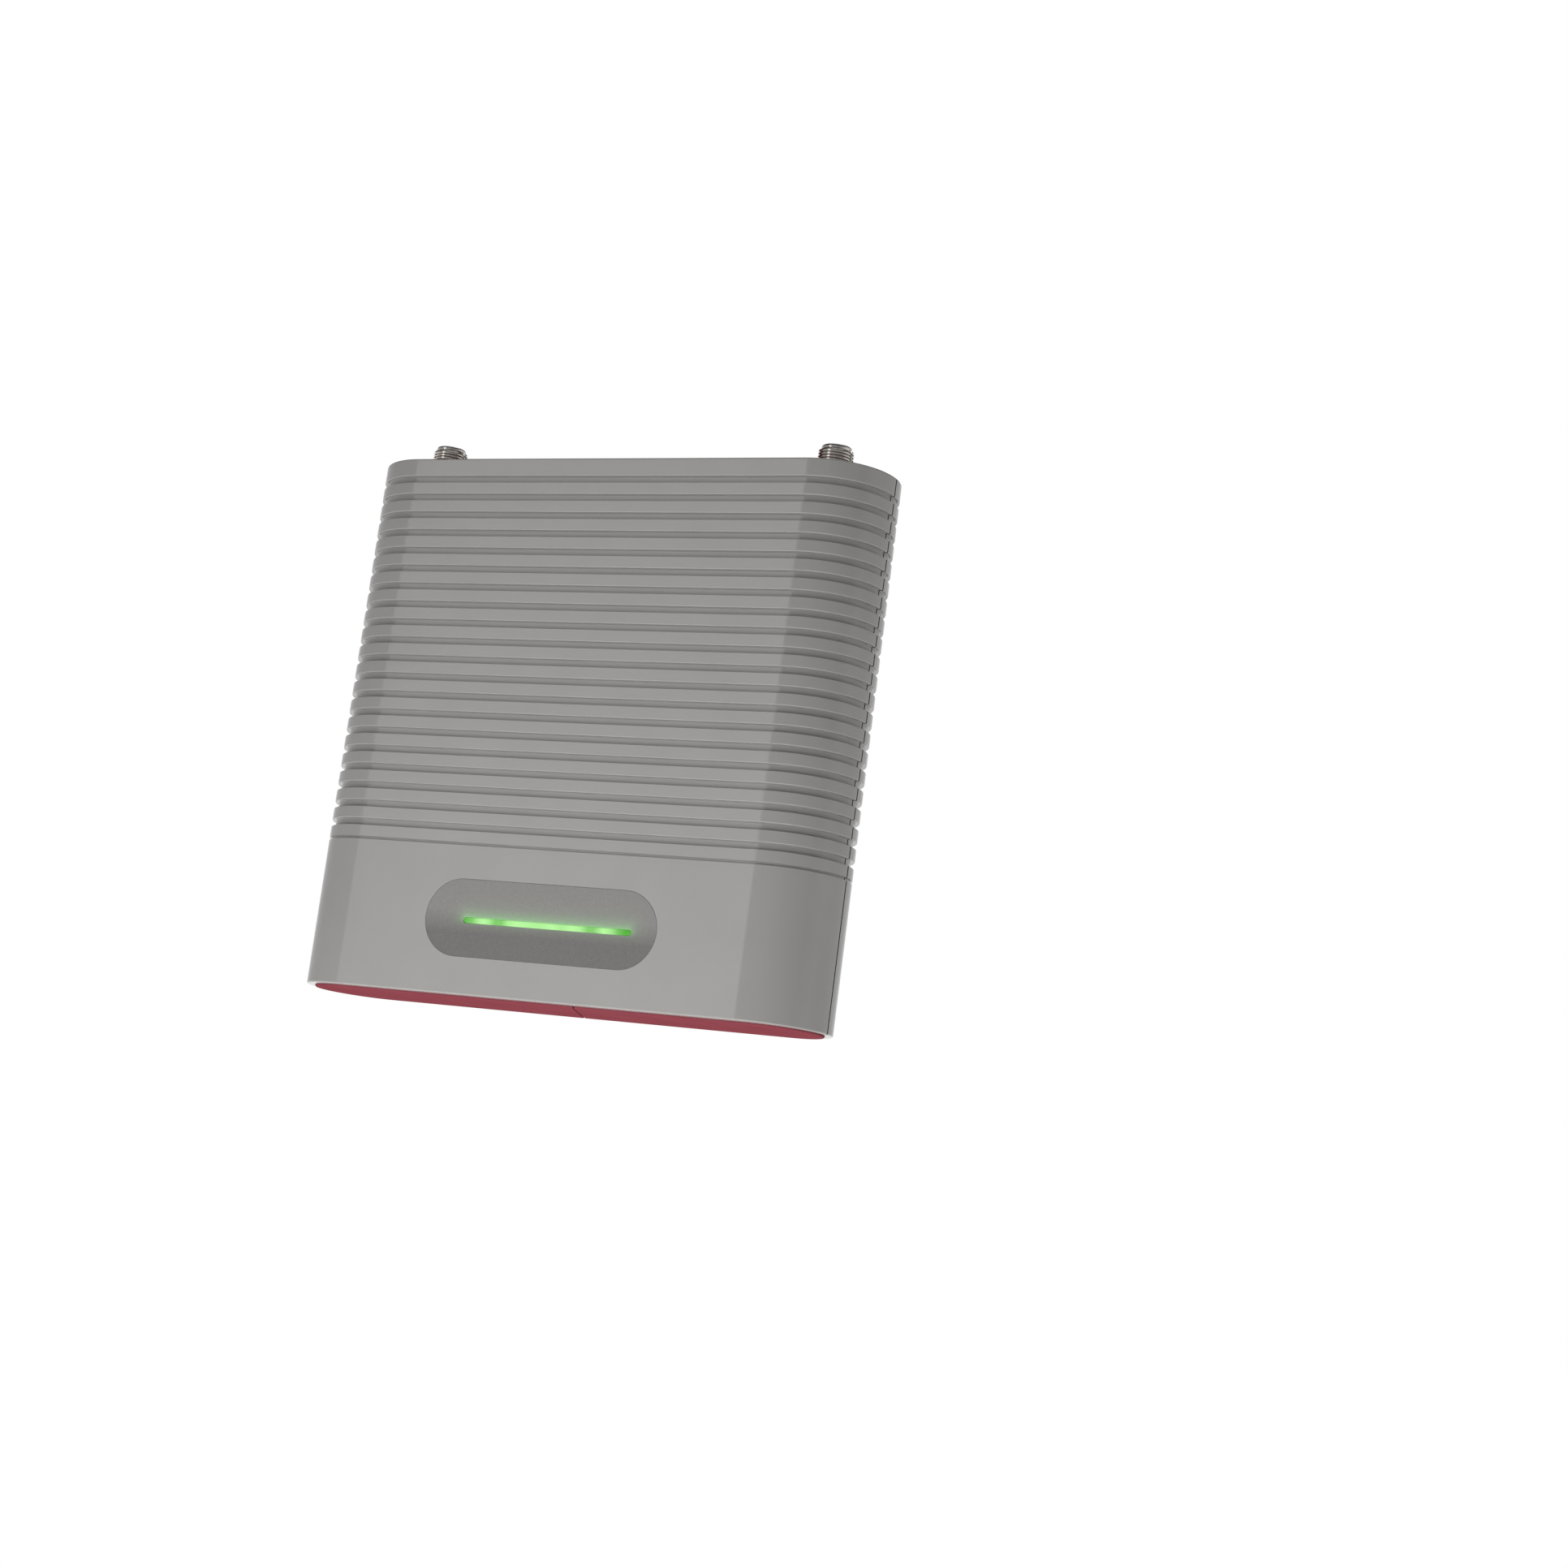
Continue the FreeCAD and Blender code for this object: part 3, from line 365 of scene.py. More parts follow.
def pill_ring(length, height, middle_x, middle_z, y, steps=16):
    radius = height / 2
    reach = length / 2 - radius
    right = arc(middle_x + reach, middle_z, radius, -90, 90, 2 * steps)
    left = arc(middle_x - reach, middle_z, radius, 90, 270, 2 * steps)
    return [(x, y, z) for x, z in right + left]


def circle_ring(x, z, radius, y, steps=40):
    """A ring round an axis along Y. The level may depend on the place, as where it meets a round wall."""
    points = []
    for i in range(steps):
        turn = 2 * math.pi * i / steps
        px, pz = x + radius * math.cos(turn), z + radius * math.sin(turn)
        points.append((px, y(px) if callable(y) else y, pz))
    return points


def stack(shape, rings):
    """A closed body through rings, from its first to its last."""
    made = [shape.ring(points) for points in rings]
    shape.skin(made)
    shape.cap(list(reversed(made[0])))
    shape.cap(made[-1])


def block(shape, x0, x1, y0, y1, z0, z1):
    stack(shape, [[(x0, y0, z), (x1, y0, z), (x1, y1, z), (x0, y1, z)] for z in (z0, z1)])


# Shells

def opening_reach(turn, grow):
    """How far a cover's opening, grown by a distance, reaches from the middle of the case's round end."""
    radius = OPENING_RADIUS + grow
    shift = OPENING_HALF_FLAT - HALF_FLAT
    reach = shift * math.cos(turn) + math.sqrt(radius ** 2 - (shift * math.sin(turn)) ** 2)
    return reach if reach * math.cos(turn) > shift else radius / math.sin(turn)


def rim_edge(turn):
    return opening_reach(turn, 0.0)


def channel_edge(turn):
    return max(opening_reach(turn, CHANNEL_DEPTH), INNER_RADIUS)


def shell_section():
    """The wall's closed outline as (distance from the middle plane, height), from the lower rim's inside. The
    edges of the opening are functions of the turn round the case's end."""
    outer = END_RADIUS
    r = RIM_ROUNDING
    points = [(rim_edge, SHELL_BOTTOM)]
    points += arc(outer - r, SHELL_BOTTOM + r, r, -90, 0, 4)
    line = SHELL_TOP - LINE_DROP
    points += [(outer, line - LINE_HALF), (outer - LINE_DEPTH, line - LINE_HALF + LINE_BOTTOM_SLOPE)]
    points += [(outer - LINE_DEPTH, line + LINE_HALF - LINE_TOP_SLOPE), (outer, line + LINE_HALF)]
    floor = outer - GROOVE_DEPTH
    for groove in reversed(range(GROOVE_COUNT)):
        middle = SHELL_TOP - FIRST_GROOVE_DROP - GROOVE_PITCH * groove
        low, high = middle - GROOVE_HALF, middle + GROOVE_HALF
        foot, head = low + GROOVE_BOTTOM_LIP, high - GROOVE_TOP_LIP
        points += arc(outer - GROOVE_BOTTOM_LIP, low, GROOVE_BOTTOM_LIP, 0, 90, 2)
        points += [(floor + GROOVE_FILLET, foot), (floor, foot + GROOVE_FILLET)]
        points += [(floor, head - GROOVE_FILLET), (floor + GROOVE_FILLET, head)]
        points += arc(outer - GROOVE_TOP_LIP, high, GROOVE_TOP_LIP, -90, 0, 4)
    points += arc(outer - r, SHELL_TOP - r, r, 0, 90, 4)
    under_rim, over_rim = SHELL_TOP - RIM_HEIGHT, SHELL_BOTTOM + RIM_HEIGHT
    points += [
        (rim_edge, SHELL_TOP),
        (rim_edge, under_rim),
        (channel_edge, under_rim),
        (channel_edge, under_rim - CHANNEL_HEIGHT),
        (INNER_RADIUS, under_rim - CHANNEL_HEIGHT),
        (INNER_RADIUS, over_rim + CHANNEL_HEIGHT),
        (channel_edge, over_rim + CHANNEL_HEIGHT),
        (channel_edge, over_rim),
        (rim_edge, over_rim),
    ]
    return points


def shell_stations():
    """Where the section stands on its way round from the right seam to the left seam: for each station, the
    point at a given distance, and how far the outside is drawn in."""
    seam_y = SEAM_GAP / 2
    stations = []
    for i in range(SEAM_STEPS + 1):
        turn = math.radians(90 * i / SEAM_STEPS)
        y = seam_y + SEAM_ROUNDING * (1 - math.cos(turn))
        stations.append(("seam", 1, y, SEAM_ROUNDING * (1 - math.sin(turn))))
    for i in range(END_STEPS + 1):
        stations.append(("end", 1, FIRST_TURN + (90 - FIRST_TURN) * i / END_STEPS, 0.0))
    mirrored = [(kind, -1, value, inset) for kind, side, value, inset in reversed(stations)]
    return stations + mirrored


def station_point(kind, side, value, distance):
    if kind == "seam":
        return side * (HALF_FLAT + math.sqrt(distance ** 2 - value ** 2)), -value
    turn = math.radians(value)
    return side * (HALF_FLAT + distance * math.cos(turn)), -distance * math.sin(turn)


def half_shell(facing):
    """The wall of one shell. It faces -Y for the front and +Y for the rear."""
    shape = Shape()
    section = shell_section()
    rings = []
    for kind, side, value, inset in shell_stations():
        turn = math.radians(value) if kind == "end" else 0.0
        points = []
        for distance, z in section:
            if callable(distance):
                drawn = distance(turn)
            elif distance > INNER_RADIUS:
                drawn = distance - inset
            else:
                drawn = distance
            x, y = station_point(kind, side, value, drawn)
            points.append((x, -facing * y, z))
        rings.append(shape.ring(points))
    shape.skin(rings)
    shape.cap(list(reversed(rings[0])))
    shape.cap(rings[-1])
    return shape


def wall_level(facing, x):
    """Where a boss at x ends inside the wall."""
    past_flat = max(abs(x) - HALF_FLAT, 0.0)
    return facing * math.sqrt(CORE_RADIUS ** 2 - past_flat ** 2)


def post(shape, facing, x, z, outer, bore, start, bore_end=None):
    """A round post from near the seam into the wall. Its bore is blind, or goes on through the wall."""
    def wall(px):
        return wall_level(facing, px)
    rings = [circle_ring(x, z, outer, wall)]
    rings += [circle_ring(x, z, radius, facing * start) for radius in (outer, bore)]
    if bore_end is not None:
        stack(shape, rings + [circle_ring(x, z, bore, facing * bore_end)])
        return
    rings += [circle_ring(x, z, radius, facing * SCREW_SEAT) for radius in (bore, SCREW_COUNTERBORE)]
    rings.append(circle_ring(x, z, SCREW_COUNTERBORE, wall))
    shape.skin([shape.ring(points) for points in rings], close=True)


def tongue(shape, side):
    """The front shell's inner lip, which closes the seam from within."""
    inner, outer = (INNER_RADIUS - inset for inset in TONGUE_INSET)
    root = INNER_RADIUS + TONGUE_ROOT
    step = -SEAM_GAP / 2 - TONGUE_ROOT
    outline = [(inner, -TONGUE_REACH), (root, -TONGUE_REACH), (root, step), (outer, step),
               (outer, TONGUE_REACH), (inner, TONGUE_REACH)]
    rings = []
    for z in (SHELL_BOTTOM + 2 * RIM_HEIGHT, PANEL_BOTTOM - PAST):
        rings.append([(side * (HALF_FLAT + math.sqrt(d ** 2 - y ** 2)), y, z) for d, y in outline])
    stack(shape, rings)


def flared_pill(shape, length, height, x, z, y_in, y_face, flare):
    """A pill-shaped cutter into the front whose mouth widens, round a bend, at the face it cuts."""
    rings = [pill_ring(length, height, x, z, y_in), pill_ring(length, height, x, z, y_face + flare)]
    bend = 0.3 * flare
    past = 0.3
    for grow, depth in ((bend, bend), (flare, 0.0), (flare + past, -past)):
        rings.append(pill_ring(length + 2 * grow, height + 2 * grow, x, z, y_face + depth))
    stack(shape, rings)


def keyhole_ring(x, y, grow):
    """A round entry and a narrower neck above it, as one outline."""
    head, neck = KEYHOLE_HEAD + grow, KEYHOLE_NECK + grow
    meet = math.degrees(math.acos(neck / head))
    points = arc(x, KEYHOLE_Z, head, 180 - meet, 360 + meet, 36)
    points += arc(x, KEYHOLE_Z + KEYHOLE_RISE, neck, 0, 180, 16)
    return [(px, y, pz) for px, pz in points]


def land_ring(y, grow):
    x1 = LAND_HALF_WIDTH - LAND_CORNER
    z0, z1 = LAND_BOTTOM + LAND_CORNER, LAND_TOP - LAND_CORNER
    corner = LAND_CORNER + grow
    points = arc(x1, z0, corner, -90, 0, 8) + arc(x1, z1, corner, 0, 90, 8)
    points += arc(-x1, z1, corner, 90, 180, 8) + arc(-x1, z0, corner, 180, 270, 8)
    return [(x, y, z) for x, z in points]


def make_front_shell(material):
    piece = piece_from("front_casting", half_shell(-1), material, stands_for=["front_shell"])
    window = Shape()
    inside_wall = PAST - INNER_RADIUS
    flared_pill(window, WINDOW_LENGTH, WINDOW_HEIGHT, 0, WINDOW_Z, inside_wall, -END_RADIUS, WINDOW_ROUNDING)
    cut(piece, window)
    inside = Shape()
    for side in SIDES:
        for z in SCREW_Z:
            post(inside, -1, side * SCREW_X, z, POST_RADIUS, POST_BORE, POST_START, POST_BORE_END)
        post(inside, -1, side * LED_POST_X, WINDOW_Z, *LED_POST)
        tongue(inside, side)
    add_islands(piece, inside)
    finish_shading(piece)


def make_rear_shell(material):
    piece = piece_from("rear_casting", half_shell(1), material, stands_for=["rear_shell"])
    outside = END_RADIUS + PAST
    land = Shape()
    levels = (
        (LAND_FLOOR, 0.0),
        (END_RADIUS - LAND_LIP, 0.0),
        (END_RADIUS, LAND_LIP),
        (outside, 4 * LAND_LIP),
    )
    stack(land, [land_ring(y, grow) for y, grow in levels])
    cut(piece, land)
    holes = Shape()
    levels = (
        (INNER_RADIUS - PAST, 0.0),
        (LAND_FLOOR - KEYHOLE_LIP, 0.0),
        (LAND_FLOOR, KEYHOLE_LIP),
        (outside, KEYHOLE_LIP),
    )
    for side in SIDES:
        for z in SCREW_Z:
            ends = (SCREW_CUT_FROM, outside)
            stack(holes, [circle_ring(side * SCREW_X, z, SCREW_COUNTERBORE, y) for y in ends])
        stack(holes, [keyhole_ring(side * KEYHOLE_X, y, grow) for y, grow in levels])
    cut(piece, holes)
    inside = Shape()
    for side in SIDES:
        for z in SCREW_Z:
            post(inside, 1, side * SCREW_X, z, POST_RADIUS, SCREW_BORE, POST_START)
        x0, x1 = side * PEDESTAL_X - PEDESTAL_HALF, side * PEDESTAL_X + PEDESTAL_HALF
        block(inside, x0, x1, PEDESTAL_LEVEL, CORE_RADIUS, *PEDESTAL_Z)
    for x, z in BOSSES:
        post(inside, 1, x, z, *BOSS)
    add_islands(piece, inside)
    finish_shading(piece)


# Red panel and cover

def make_top_panel(material):
    plate = OPENING_RADIUS - COVER_GAP
    flange = plate + CHANNEL_DEPTH
    r = COVER_ROUNDING
    rings = [(flange, PANEL_BOTTOM), (flange, PANEL_FLANGE_TOP), (plate, PANEL_FLANGE_TOP)]
    rings += arc(plate - r, PANEL_TOP - r, r, 0, 90, 4)
    shape = Shape()
    stack(shape, [stadium_ring(radius, z, OPENING_HALF_FLAT) for radius, z in rings])
    piece = piece_from("top_cover_panel", shape, material, stands_for=["top_panel"])
    holes = Shape()
    ports = [(side * PORT_X, PORT_Y, THREAD_RADIUS) for side in SIDES]
    last_turn = 360 - 360 / HOLE_STEPS
    for x, y, radius in ports + [(0.0, 0.0, JACK_NECK_RADIUS)]:
        radius += COVER_GAP
        lip = radius + PANEL_HOLE_LIP
        profile = (
            (radius, PANEL_BOTTOM - PAST),
            (radius, PANEL_TOP - PANEL_HOLE_LIP),
            (lip, PANEL_TOP),
            (lip, PANEL_TOP + PAST),
        )
        rings = []
        for size, level in profile:
            rings.append([(px, py, level) for px, py in arc(x, y, size, 0, last_turn, HOLE_STEPS - 1)])
        stack(holes, rings)
    cut(piece, holes)
    finish_shading(piece)


def make_bottom_cover(name, node, side, material):
    """One side of the slanted joint. The lower edge and the joint's lips are rounded."""
    pad = OPENING_RADIUS - COVER_GAP
    flange = pad + CHANNEL_DEPTH
    flange_bottom, flange_top = COVER_FLANGE
    r = COVER_ROUNDING
    rings = arc(pad - r, r, r, -90, 0, 4)
    rings += [(pad, flange_bottom), (flange, flange_bottom), (flange, flange_top)]
    shape = Shape()
    stack(shape, [stadium_ring(radius, z, OPENING_HALF_FLAT) for radius, z in rings])
    piece = piece_from(name, shape, material, stands_for=[node])
    work = bmesh.new()
    work.from_mesh(piece.data)
    front, rear = Vector((*JOINT_FRONT, 0)), Vector((*JOINT_REAR, 0))
    middle = (front + rear) / 2
    along = (rear - front).normalized()
    keep = Vector((along.y, -along.x, 0)) * side
    point = (middle + keep * JOINT_GAP / 2) * MM
    everything = work.verts[:] + work.edges[:] + work.faces[:]
    bmesh.ops.bisect_plane(work, geom=everything, plane_co=point, plane_no=keep, clear_inner=True)
    open_edges = [edge for edge in work.edges if len(edge.link_faces) == 1]
    bmesh.ops.contextual_create(work, geom=open_edges)
    lip = [edge for edge in work.edges if all(abs(v.co.z) < 1e-6 for v in edge.verts)
           and all(abs((v.co - point).dot(keep)) < 1e-6 for v in edge.verts)]
    bmesh.ops.bevel(work, geom=lip, offset=JOINT_ROUNDING * MM, segments=3, profile=0.5, affect="EDGES")
    bmesh.ops.recalc_face_normals(work, faces=work.faces)
    work.to_mesh(piece.data)
    work.free()
    finish_shading(piece)


# Window

def make_lens(material):
    length, height = WINDOW_LENGTH - 2 * WINDOW_GAP, WINDOW_HEIGHT - 2 * WINDOW_GAP
    r = WINDOW_ROUNDING
    shape = Shape()
    rings = [pill_ring(length - 2 * (r - a), height - 2 * (r - a), 0, WINDOW_Z, -END_RADIUS + r - b)
             for a, b in arc(0, 0, r, 90, 0, 4)]
    rings.append(pill_ring(length, height, 0, WINDOW_Z, LENS_BACK))
    grow = 2 * LENS_LIP + 2 * WINDOW_GAP
    rings.append(pill_ring(length + grow, height + grow, 0, WINDOW_Z, LENS_BACK))
    rings.append(pill_ring(length + grow, height + grow, 0, WINDOW_Z, LENS_LIP_BACK))
    stack(shape, rings)
    piece = piece_from("status_window", shape, material, stands_for=["window_lens"])
    slot = Shape()
    length, height = BAR_LENGTH + 2 * BAR_CLEARANCE, BAR_HEIGHT + 2 * BAR_CLEARANCE
    flared_pill(slot, length, height, BAR_X, BAR_Z, LENS_LIP_BACK + PAST, -END_RADIUS, BAR_SLOT_FLARE)
    cut(piece, slot)
    finish_shading(piece)


def make_light_bar(material):
    r = BAR_ROUNDING
    foot, thickness = BAR_FOOT
    sections = [(a - r, -END_RADIUS + r - b) for a, b in arc(0, 0, r, 90, 0, 4)]
    sections += [(0.0, LENS_LIP_BACK), (foot, LENS_LIP_BACK), (foot, LENS_LIP_BACK + thickness)]
    rings = []
    for grow, y in sections:
        rings.append(pill_ring(BAR_LENGTH + 2 * grow, BAR_HEIGHT + 2 * grow, BAR_X, BAR_Z, y, BAR_STEPS))
    shape = Shape()
    stack(shape, rings)
    finish_shading(piece_from("status_light_bar", shape, material, stands_for=["light_guide"]))


# F ports

def round_port(x, radius, turn, z):
    return x + radius * math.cos(turn), PORT_Y + radius * math.sin(turn), z


def thread_radius(z, share):
    """The thread's radius at a share of its height. It rises and falls near its ends."""
    rise_from, rise = THREAD_RISE
    fall_from, fall = THREAD_FALL
    fade_in = min(max((z - THREAD_START - rise_from) / rise, 0.0), 1.0)
    fade_out = min(max((THREAD_END - fall_from - z) / fall, 0.0), 1.0)
    return THREAD_ROOT + (THREAD_RADIUS - THREAD_ROOT) * share * min(fade_in, fade_out)


def threaded_barrel(shape, x, turns):
    """A right-hand thread along a helix, with a plain runout at each end, then the mouth and bore."""
    step = PORT_FOOT + PORT_SHOULDER
    profile = [(PORT_BORE, step), (PORT_SHOULDER_BORE, step), (PORT_SHOULDER_BORE, PORT_FOOT)]
    profile += [(THREAD_ROOT, PORT_FOOT), (THREAD_ROOT, THREAD_START)]
    rings = [[round_port(x, radius, turn, z) for turn in turns] for radius, z in profile]
    rows = len(THREAD_FORM)
    low, high = THREAD_START + THREAD_TRIM[0], THREAD_END - THREAD_TRIM[1]
    whole_turns = int((THREAD_END - THREAD_START) / THREAD_PITCH)
    for row in range((whole_turns + 1) * rows + 1):
        ring = []
        for i, turn in enumerate(turns):
            z = min(max(low + THREAD_PITCH * (row / rows - i / PORT_STEPS), low), high)
            ring.append(round_port(x, thread_radius(z, THREAD_FORM[row % rows]), turn, z))
        rings.append(ring)
    r, lip = PORT_LIP_ROUNDING, PORT_BORE_LIP
    inset, rise = PORT_LIP_FOOT
    mouth = [(PORT_LIP_RADIUS - inset, THREAD_END), (PORT_LIP_RADIUS, THREAD_END + rise)]
    mouth += arc(PORT_LIP_RADIUS - r, PORT_TOP - r, r, 0, 90, 5)
    mouth += arc(PORT_BORE + lip, PORT_TOP - lip, lip, 90, 180, 4)
    rings += [[round_port(x, radius, turn, z) for turn in turns] for radius, z in mouth]
    shape.skin([shape.ring(points) for points in rings], close=True)


def hexagon_radius(flats, turn):
    """How far out a hexagon reaches at an angle, with corners on the X axis."""
    return flats / 2 / math.cos(turn % (math.pi / 3) - math.pi / 6)


def make_port(side_name, side, material):
    x = side * PORT_X
    turns = [2 * math.pi * i / PORT_STEPS for i in range(PORT_STEPS)]
    shape = Shape()
    threaded_barrel(shape, x, turns)
    inner = (PORT_BORE + THREAD_ROOT) / 2
    drawn_in, edge = PORT_FLANGE_EDGE
    flange = []
    for z, size in ((PORT_FOOT, 0), (PORT_FOOT, drawn_in), (PORT_FOOT + edge, 1), (PANEL_BOTTOM - edge, 1),
                    (PANEL_BOTTOM, drawn_in), (PANEL_BOTTOM, 0)):
        radii = [size * hexagon_radius(PORT_FLANGE_FLATS, turn) if size else inner for turn in turns]
        flange.append(shape.ring([round_port(x, radius, turn, z) for radius, turn in zip(radii, turns)]))
    shape.skin(flange, close=True)
    half, top = PORT_LEG_HALF, PORT_FOOT + PORT_LEG_ROOT
    for leg_x in (x - PORT_LEG_X, x + PORT_LEG_X):
        for y0, y1 in PORT_LEG_Y:
            block(shape, leg_x - half, leg_x + half, y0, y1, PORT_LEG_BOTTOM, top)
    nodes_replaced = [side_name + "_port_body"]
    piece = piece_from(side_name + "_f_port", shape, material, stands_for=nodes_replaced)
    finish_shading(piece, PORT_SHARP_ANGLE)


# Materials

TRACK_WIDTH = 0.16
TRACK_LENGTH = 5.2
TRACK_SPACING = 1.1
CAN_FOOT = -0.3              # the level behind which a capacitor shows its foot
STRIPE_SHIFT = 0.4
STRIPE_SPACING = 6.0
STRIPE_WIDTH = 1.2
FILTER_X = 35.5              # the middle of each row of filters
SILVER_FROM = 11.8           # how far from it their ends are silvered


def ramp_node(tree, steps):
    """A ramp through steps of (place, grey level)."""
    ramp = tree.nodes.new("ShaderNodeValToRGB")
    stops = ramp.color_ramp.elements
    for i, (where, level) in enumerate(steps):
        stop = stops[i] if i < 2 else stops.new(where)
        stop.position = where
        stop.color = (level, level, level, 1)
    return ramp


class Nodes:
    """A short way to write a material's node tree."""

    def __init__(self, name):
        self.material = bpy.data.materials.new(name)
        self.material.use_nodes = True
        self.tree = self.material.node_tree
        self.shader = self.tree.nodes["Principled BSDF"]
        self.place = self.add("TexCoord").outputs["Object"]
        self.axes = None

    def add(self, kind, **settings):
        made = self.tree.nodes.new("ShaderNode" + kind)
        for key, value in settings.items():
            setattr(made, key, value)
        return made

    def join(self, source, target):
        self.tree.links.new(source, target)

    def set(self, **values):
        for key, value in values.items():
            self.shader.inputs[key.replace("_", " ")].default_value = value

    def noise(self, scale, detail=2.0, stretch=None):
        """Cloudy noise with a number of clouds per metre, drawn out along an axis by a smaller stretch."""
        made = self.add("TexNoise")
        made.inputs["Scale"].default_value = scale
        made.inputs["Detail"].default_value = detail
        place = self.place
        if stretch:
            mapping = self.add("Mapping")
            mapping.inputs["Scale"].default_value = stretch
            self.join(place, mapping.inputs["Vector"])
            place = mapping.outputs["Vector"]
        self.join(place, made.inputs["Vector"])
        return made.outputs["Fac"]

    def spread(self, source, low, high, from_low=0.3, from_high=0.7):
        made = self.add("MapRange")
        made.inputs["From Min"].default_value = from_low
        made.inputs["From Max"].default_value = from_high
        made.inputs["To Min"].default_value = low
        made.inputs["To Max"].default_value = high
        self.join(source, made.inputs["Value"])
        return made.outputs["Result"]

    def math(self, operation, first, second=None):
        made = self.add("Math", operation=operation)
        for socket, value in zip(made.inputs, (first, second)):
            if value is None:
                continue
            if isinstance(value, (int, float)):
                socket.default_value = value
            else:
                self.join(value, socket)
        return made.outputs["Value"]

    def blend(self, amount, first, second):
        """A colour between two, each a fixed colour or an output."""
        made = self.add("Mix", data_type="RGBA")
        self.join(amount, made.inputs["Factor"])
        colours = [socket for socket in made.inputs if socket.type == "RGBA"]
        for socket, value in zip(colours, (first, second)):
            if isinstance(value, tuple):
                socket.default_value = (*value, 1)
            else:
                self.join(value, socket)
        return next(socket for socket in made.outputs if socket.type == "RGBA")

    def axis(self, name):
        if not self.axes:
            self.axes = self.add("SeparateXYZ")
            self.join(self.place, self.axes.inputs["Vector"])
        return self.axes.outputs[name]

    def colour(self, source):
        self.join(source, self.shader.inputs["Base Color"])

    def roughness(self, source):
        self.join(source, self.shader.inputs["Roughness"])

    def bump(self, source, height, strength=1.0):
        made = self.add("Bump")
        made.inputs["Strength"].default_value = strength
        made.inputs["Distance"].default_value = height
        self.join(source, made.inputs["Height"])
        self.join(made.outputs["Normal"], self.shader.inputs["Normal"])


def finish(name, dark, light, roughness, cloud=120, grain=3000, relief=0.000006, stretch=None, **settings):
    """A surface whose tone drifts between two colours, with varied gloss and a fine grain."""
    made = Nodes(name)
    made.set(**settings)
    made.colour(made.blend(made.spread(made.noise(cloud, 3, stretch), 0, 1), dark, light))
    made.roughness(made.spread(made.noise(cloud * 5, 2, stretch), *roughness))
    made.bump(made.noise(grain, 2, stretch), relief, 0.3)
    return made.material


def painted_casting():
    """Glossy grey paint. The shells' mating faces are painted near-black and dull: painted shade that darkens
    the seam gap.
    """
    made = Nodes("satin_grey_paint")
    cloud = made.spread(made.noise(60, 3), 0, 1)
    coat = made.blend(cloud, PAINT_DARK, PAINT_LIGHT)
    # the mating faces at the seam are painted near-black and dull, as painted shade in the gap
    seam_shade = made.math("LESS_THAN", made.math("ABSOLUTE", made.axis("Y")), (SEAM_GAP / 2 + SEAM_SHADE_DEPTH) * MM)
    made.colour(made.blend(seam_shade, coat, SEAM_PAINTED_SHADE))
    made.roughness(made.math("MAXIMUM", made.spread(made.noise(900), 0.10, 0.14), seam_shade))
    made.bump(made.noise(5500, 2), 0.000002, 0.3)
    return made.material


def window_grey():
    """Smoked grey with fine speckle, lightened above by a painted reflection and darkened below by painted
    shade, with a painted glow that spills from the light bar.
    """
    made = Nodes("smoked_window")
    x, z = made.axis("X"), made.axis("Z")
    # painted reflection above and painted shade below, blended by height
    upper = made.spread(z, 0, 1, *(level * MM for level in WINDOW_REFLECTION_FADE))
    base = made.blend(upper, WINDOW_SHADED_LOWER, WINDOW_REFLECTING_UPPER)
    darker = made.blend(upper, tuple(0.84 * c for c in WINDOW_SHADED_LOWER), tuple(0.88 * c for c in WINDOW_REFLECTING_UPPER))
    speckle = made.spread(made.noise(4200, 1), 0, 1, 0.42, 0.62)
    made.colour(made.blend(speckle, darker, base))
    from_middle = made.math("ABSOLUTE", made.math("SUBTRACT", x, BAR_X * MM))
    past_end = made.math("SUBTRACT", from_middle, (BAR_LENGTH / 2 - GLOW_INSET) * MM)
    across = made.math("MAXIMUM", past_end, 0.0)
    rise = made.math("SUBTRACT", z, (BAR_Z + GLOW_RISE) * MM)
    below = made.math("MULTIPLY", made.math("MINIMUM", rise, 0.0), GLOW_BELOW)
    tall = made.math("SUBTRACT", made.math("MAXIMUM", rise, 0.0), below)
    far = made.math("SQRT", made.math("ADD", made.math("POWER", across, 2.0), made.math("POWER", tall, 2.0)))
    glow = made.math("EXPONENT", made.math("DIVIDE", far, -GLOW_REACH * MM))
    made.join(made.math("MULTIPLY", glow, GLOW_STRENGTH), made.shader.inputs["Emission Strength"])
    made.shader.inputs["Emission Color"].default_value = (*GLOW, 1)
    made.set(Roughness=0.4, Specular_IOR_Level=0.35)
    made.bump(made.noise(4200, 1), 0.000004, 0.3)
    return made.material


def green_light():
    """A lit guide: brighter over each lamp behind it, darker between them and towards the ends."""
    made = Nodes("lit_green_guide")
    share = made.spread(made.axis("X"), 0, 1, (BAR_X - BAR_LENGTH / 2) * MM, (BAR_X + BAR_LENGTH / 2) * MM)
    ramp = ramp_node(made.material.node_tree, BAR_LEVELS)
    made.join(share, ramp.inputs["Fac"])
    lit = made.blend(ramp.outputs["Color"], BAR_DIM, BAR_BRIGHT)
    made.join(lit, made.shader.inputs["Emission Color"])
    made.set(Emission_Strength=1.0, Roughness=0.3, Specular_IOR_Level=0.2)
    made.shader.inputs["Base Color"].default_value = (*GUIDE, 1)
    return made.material


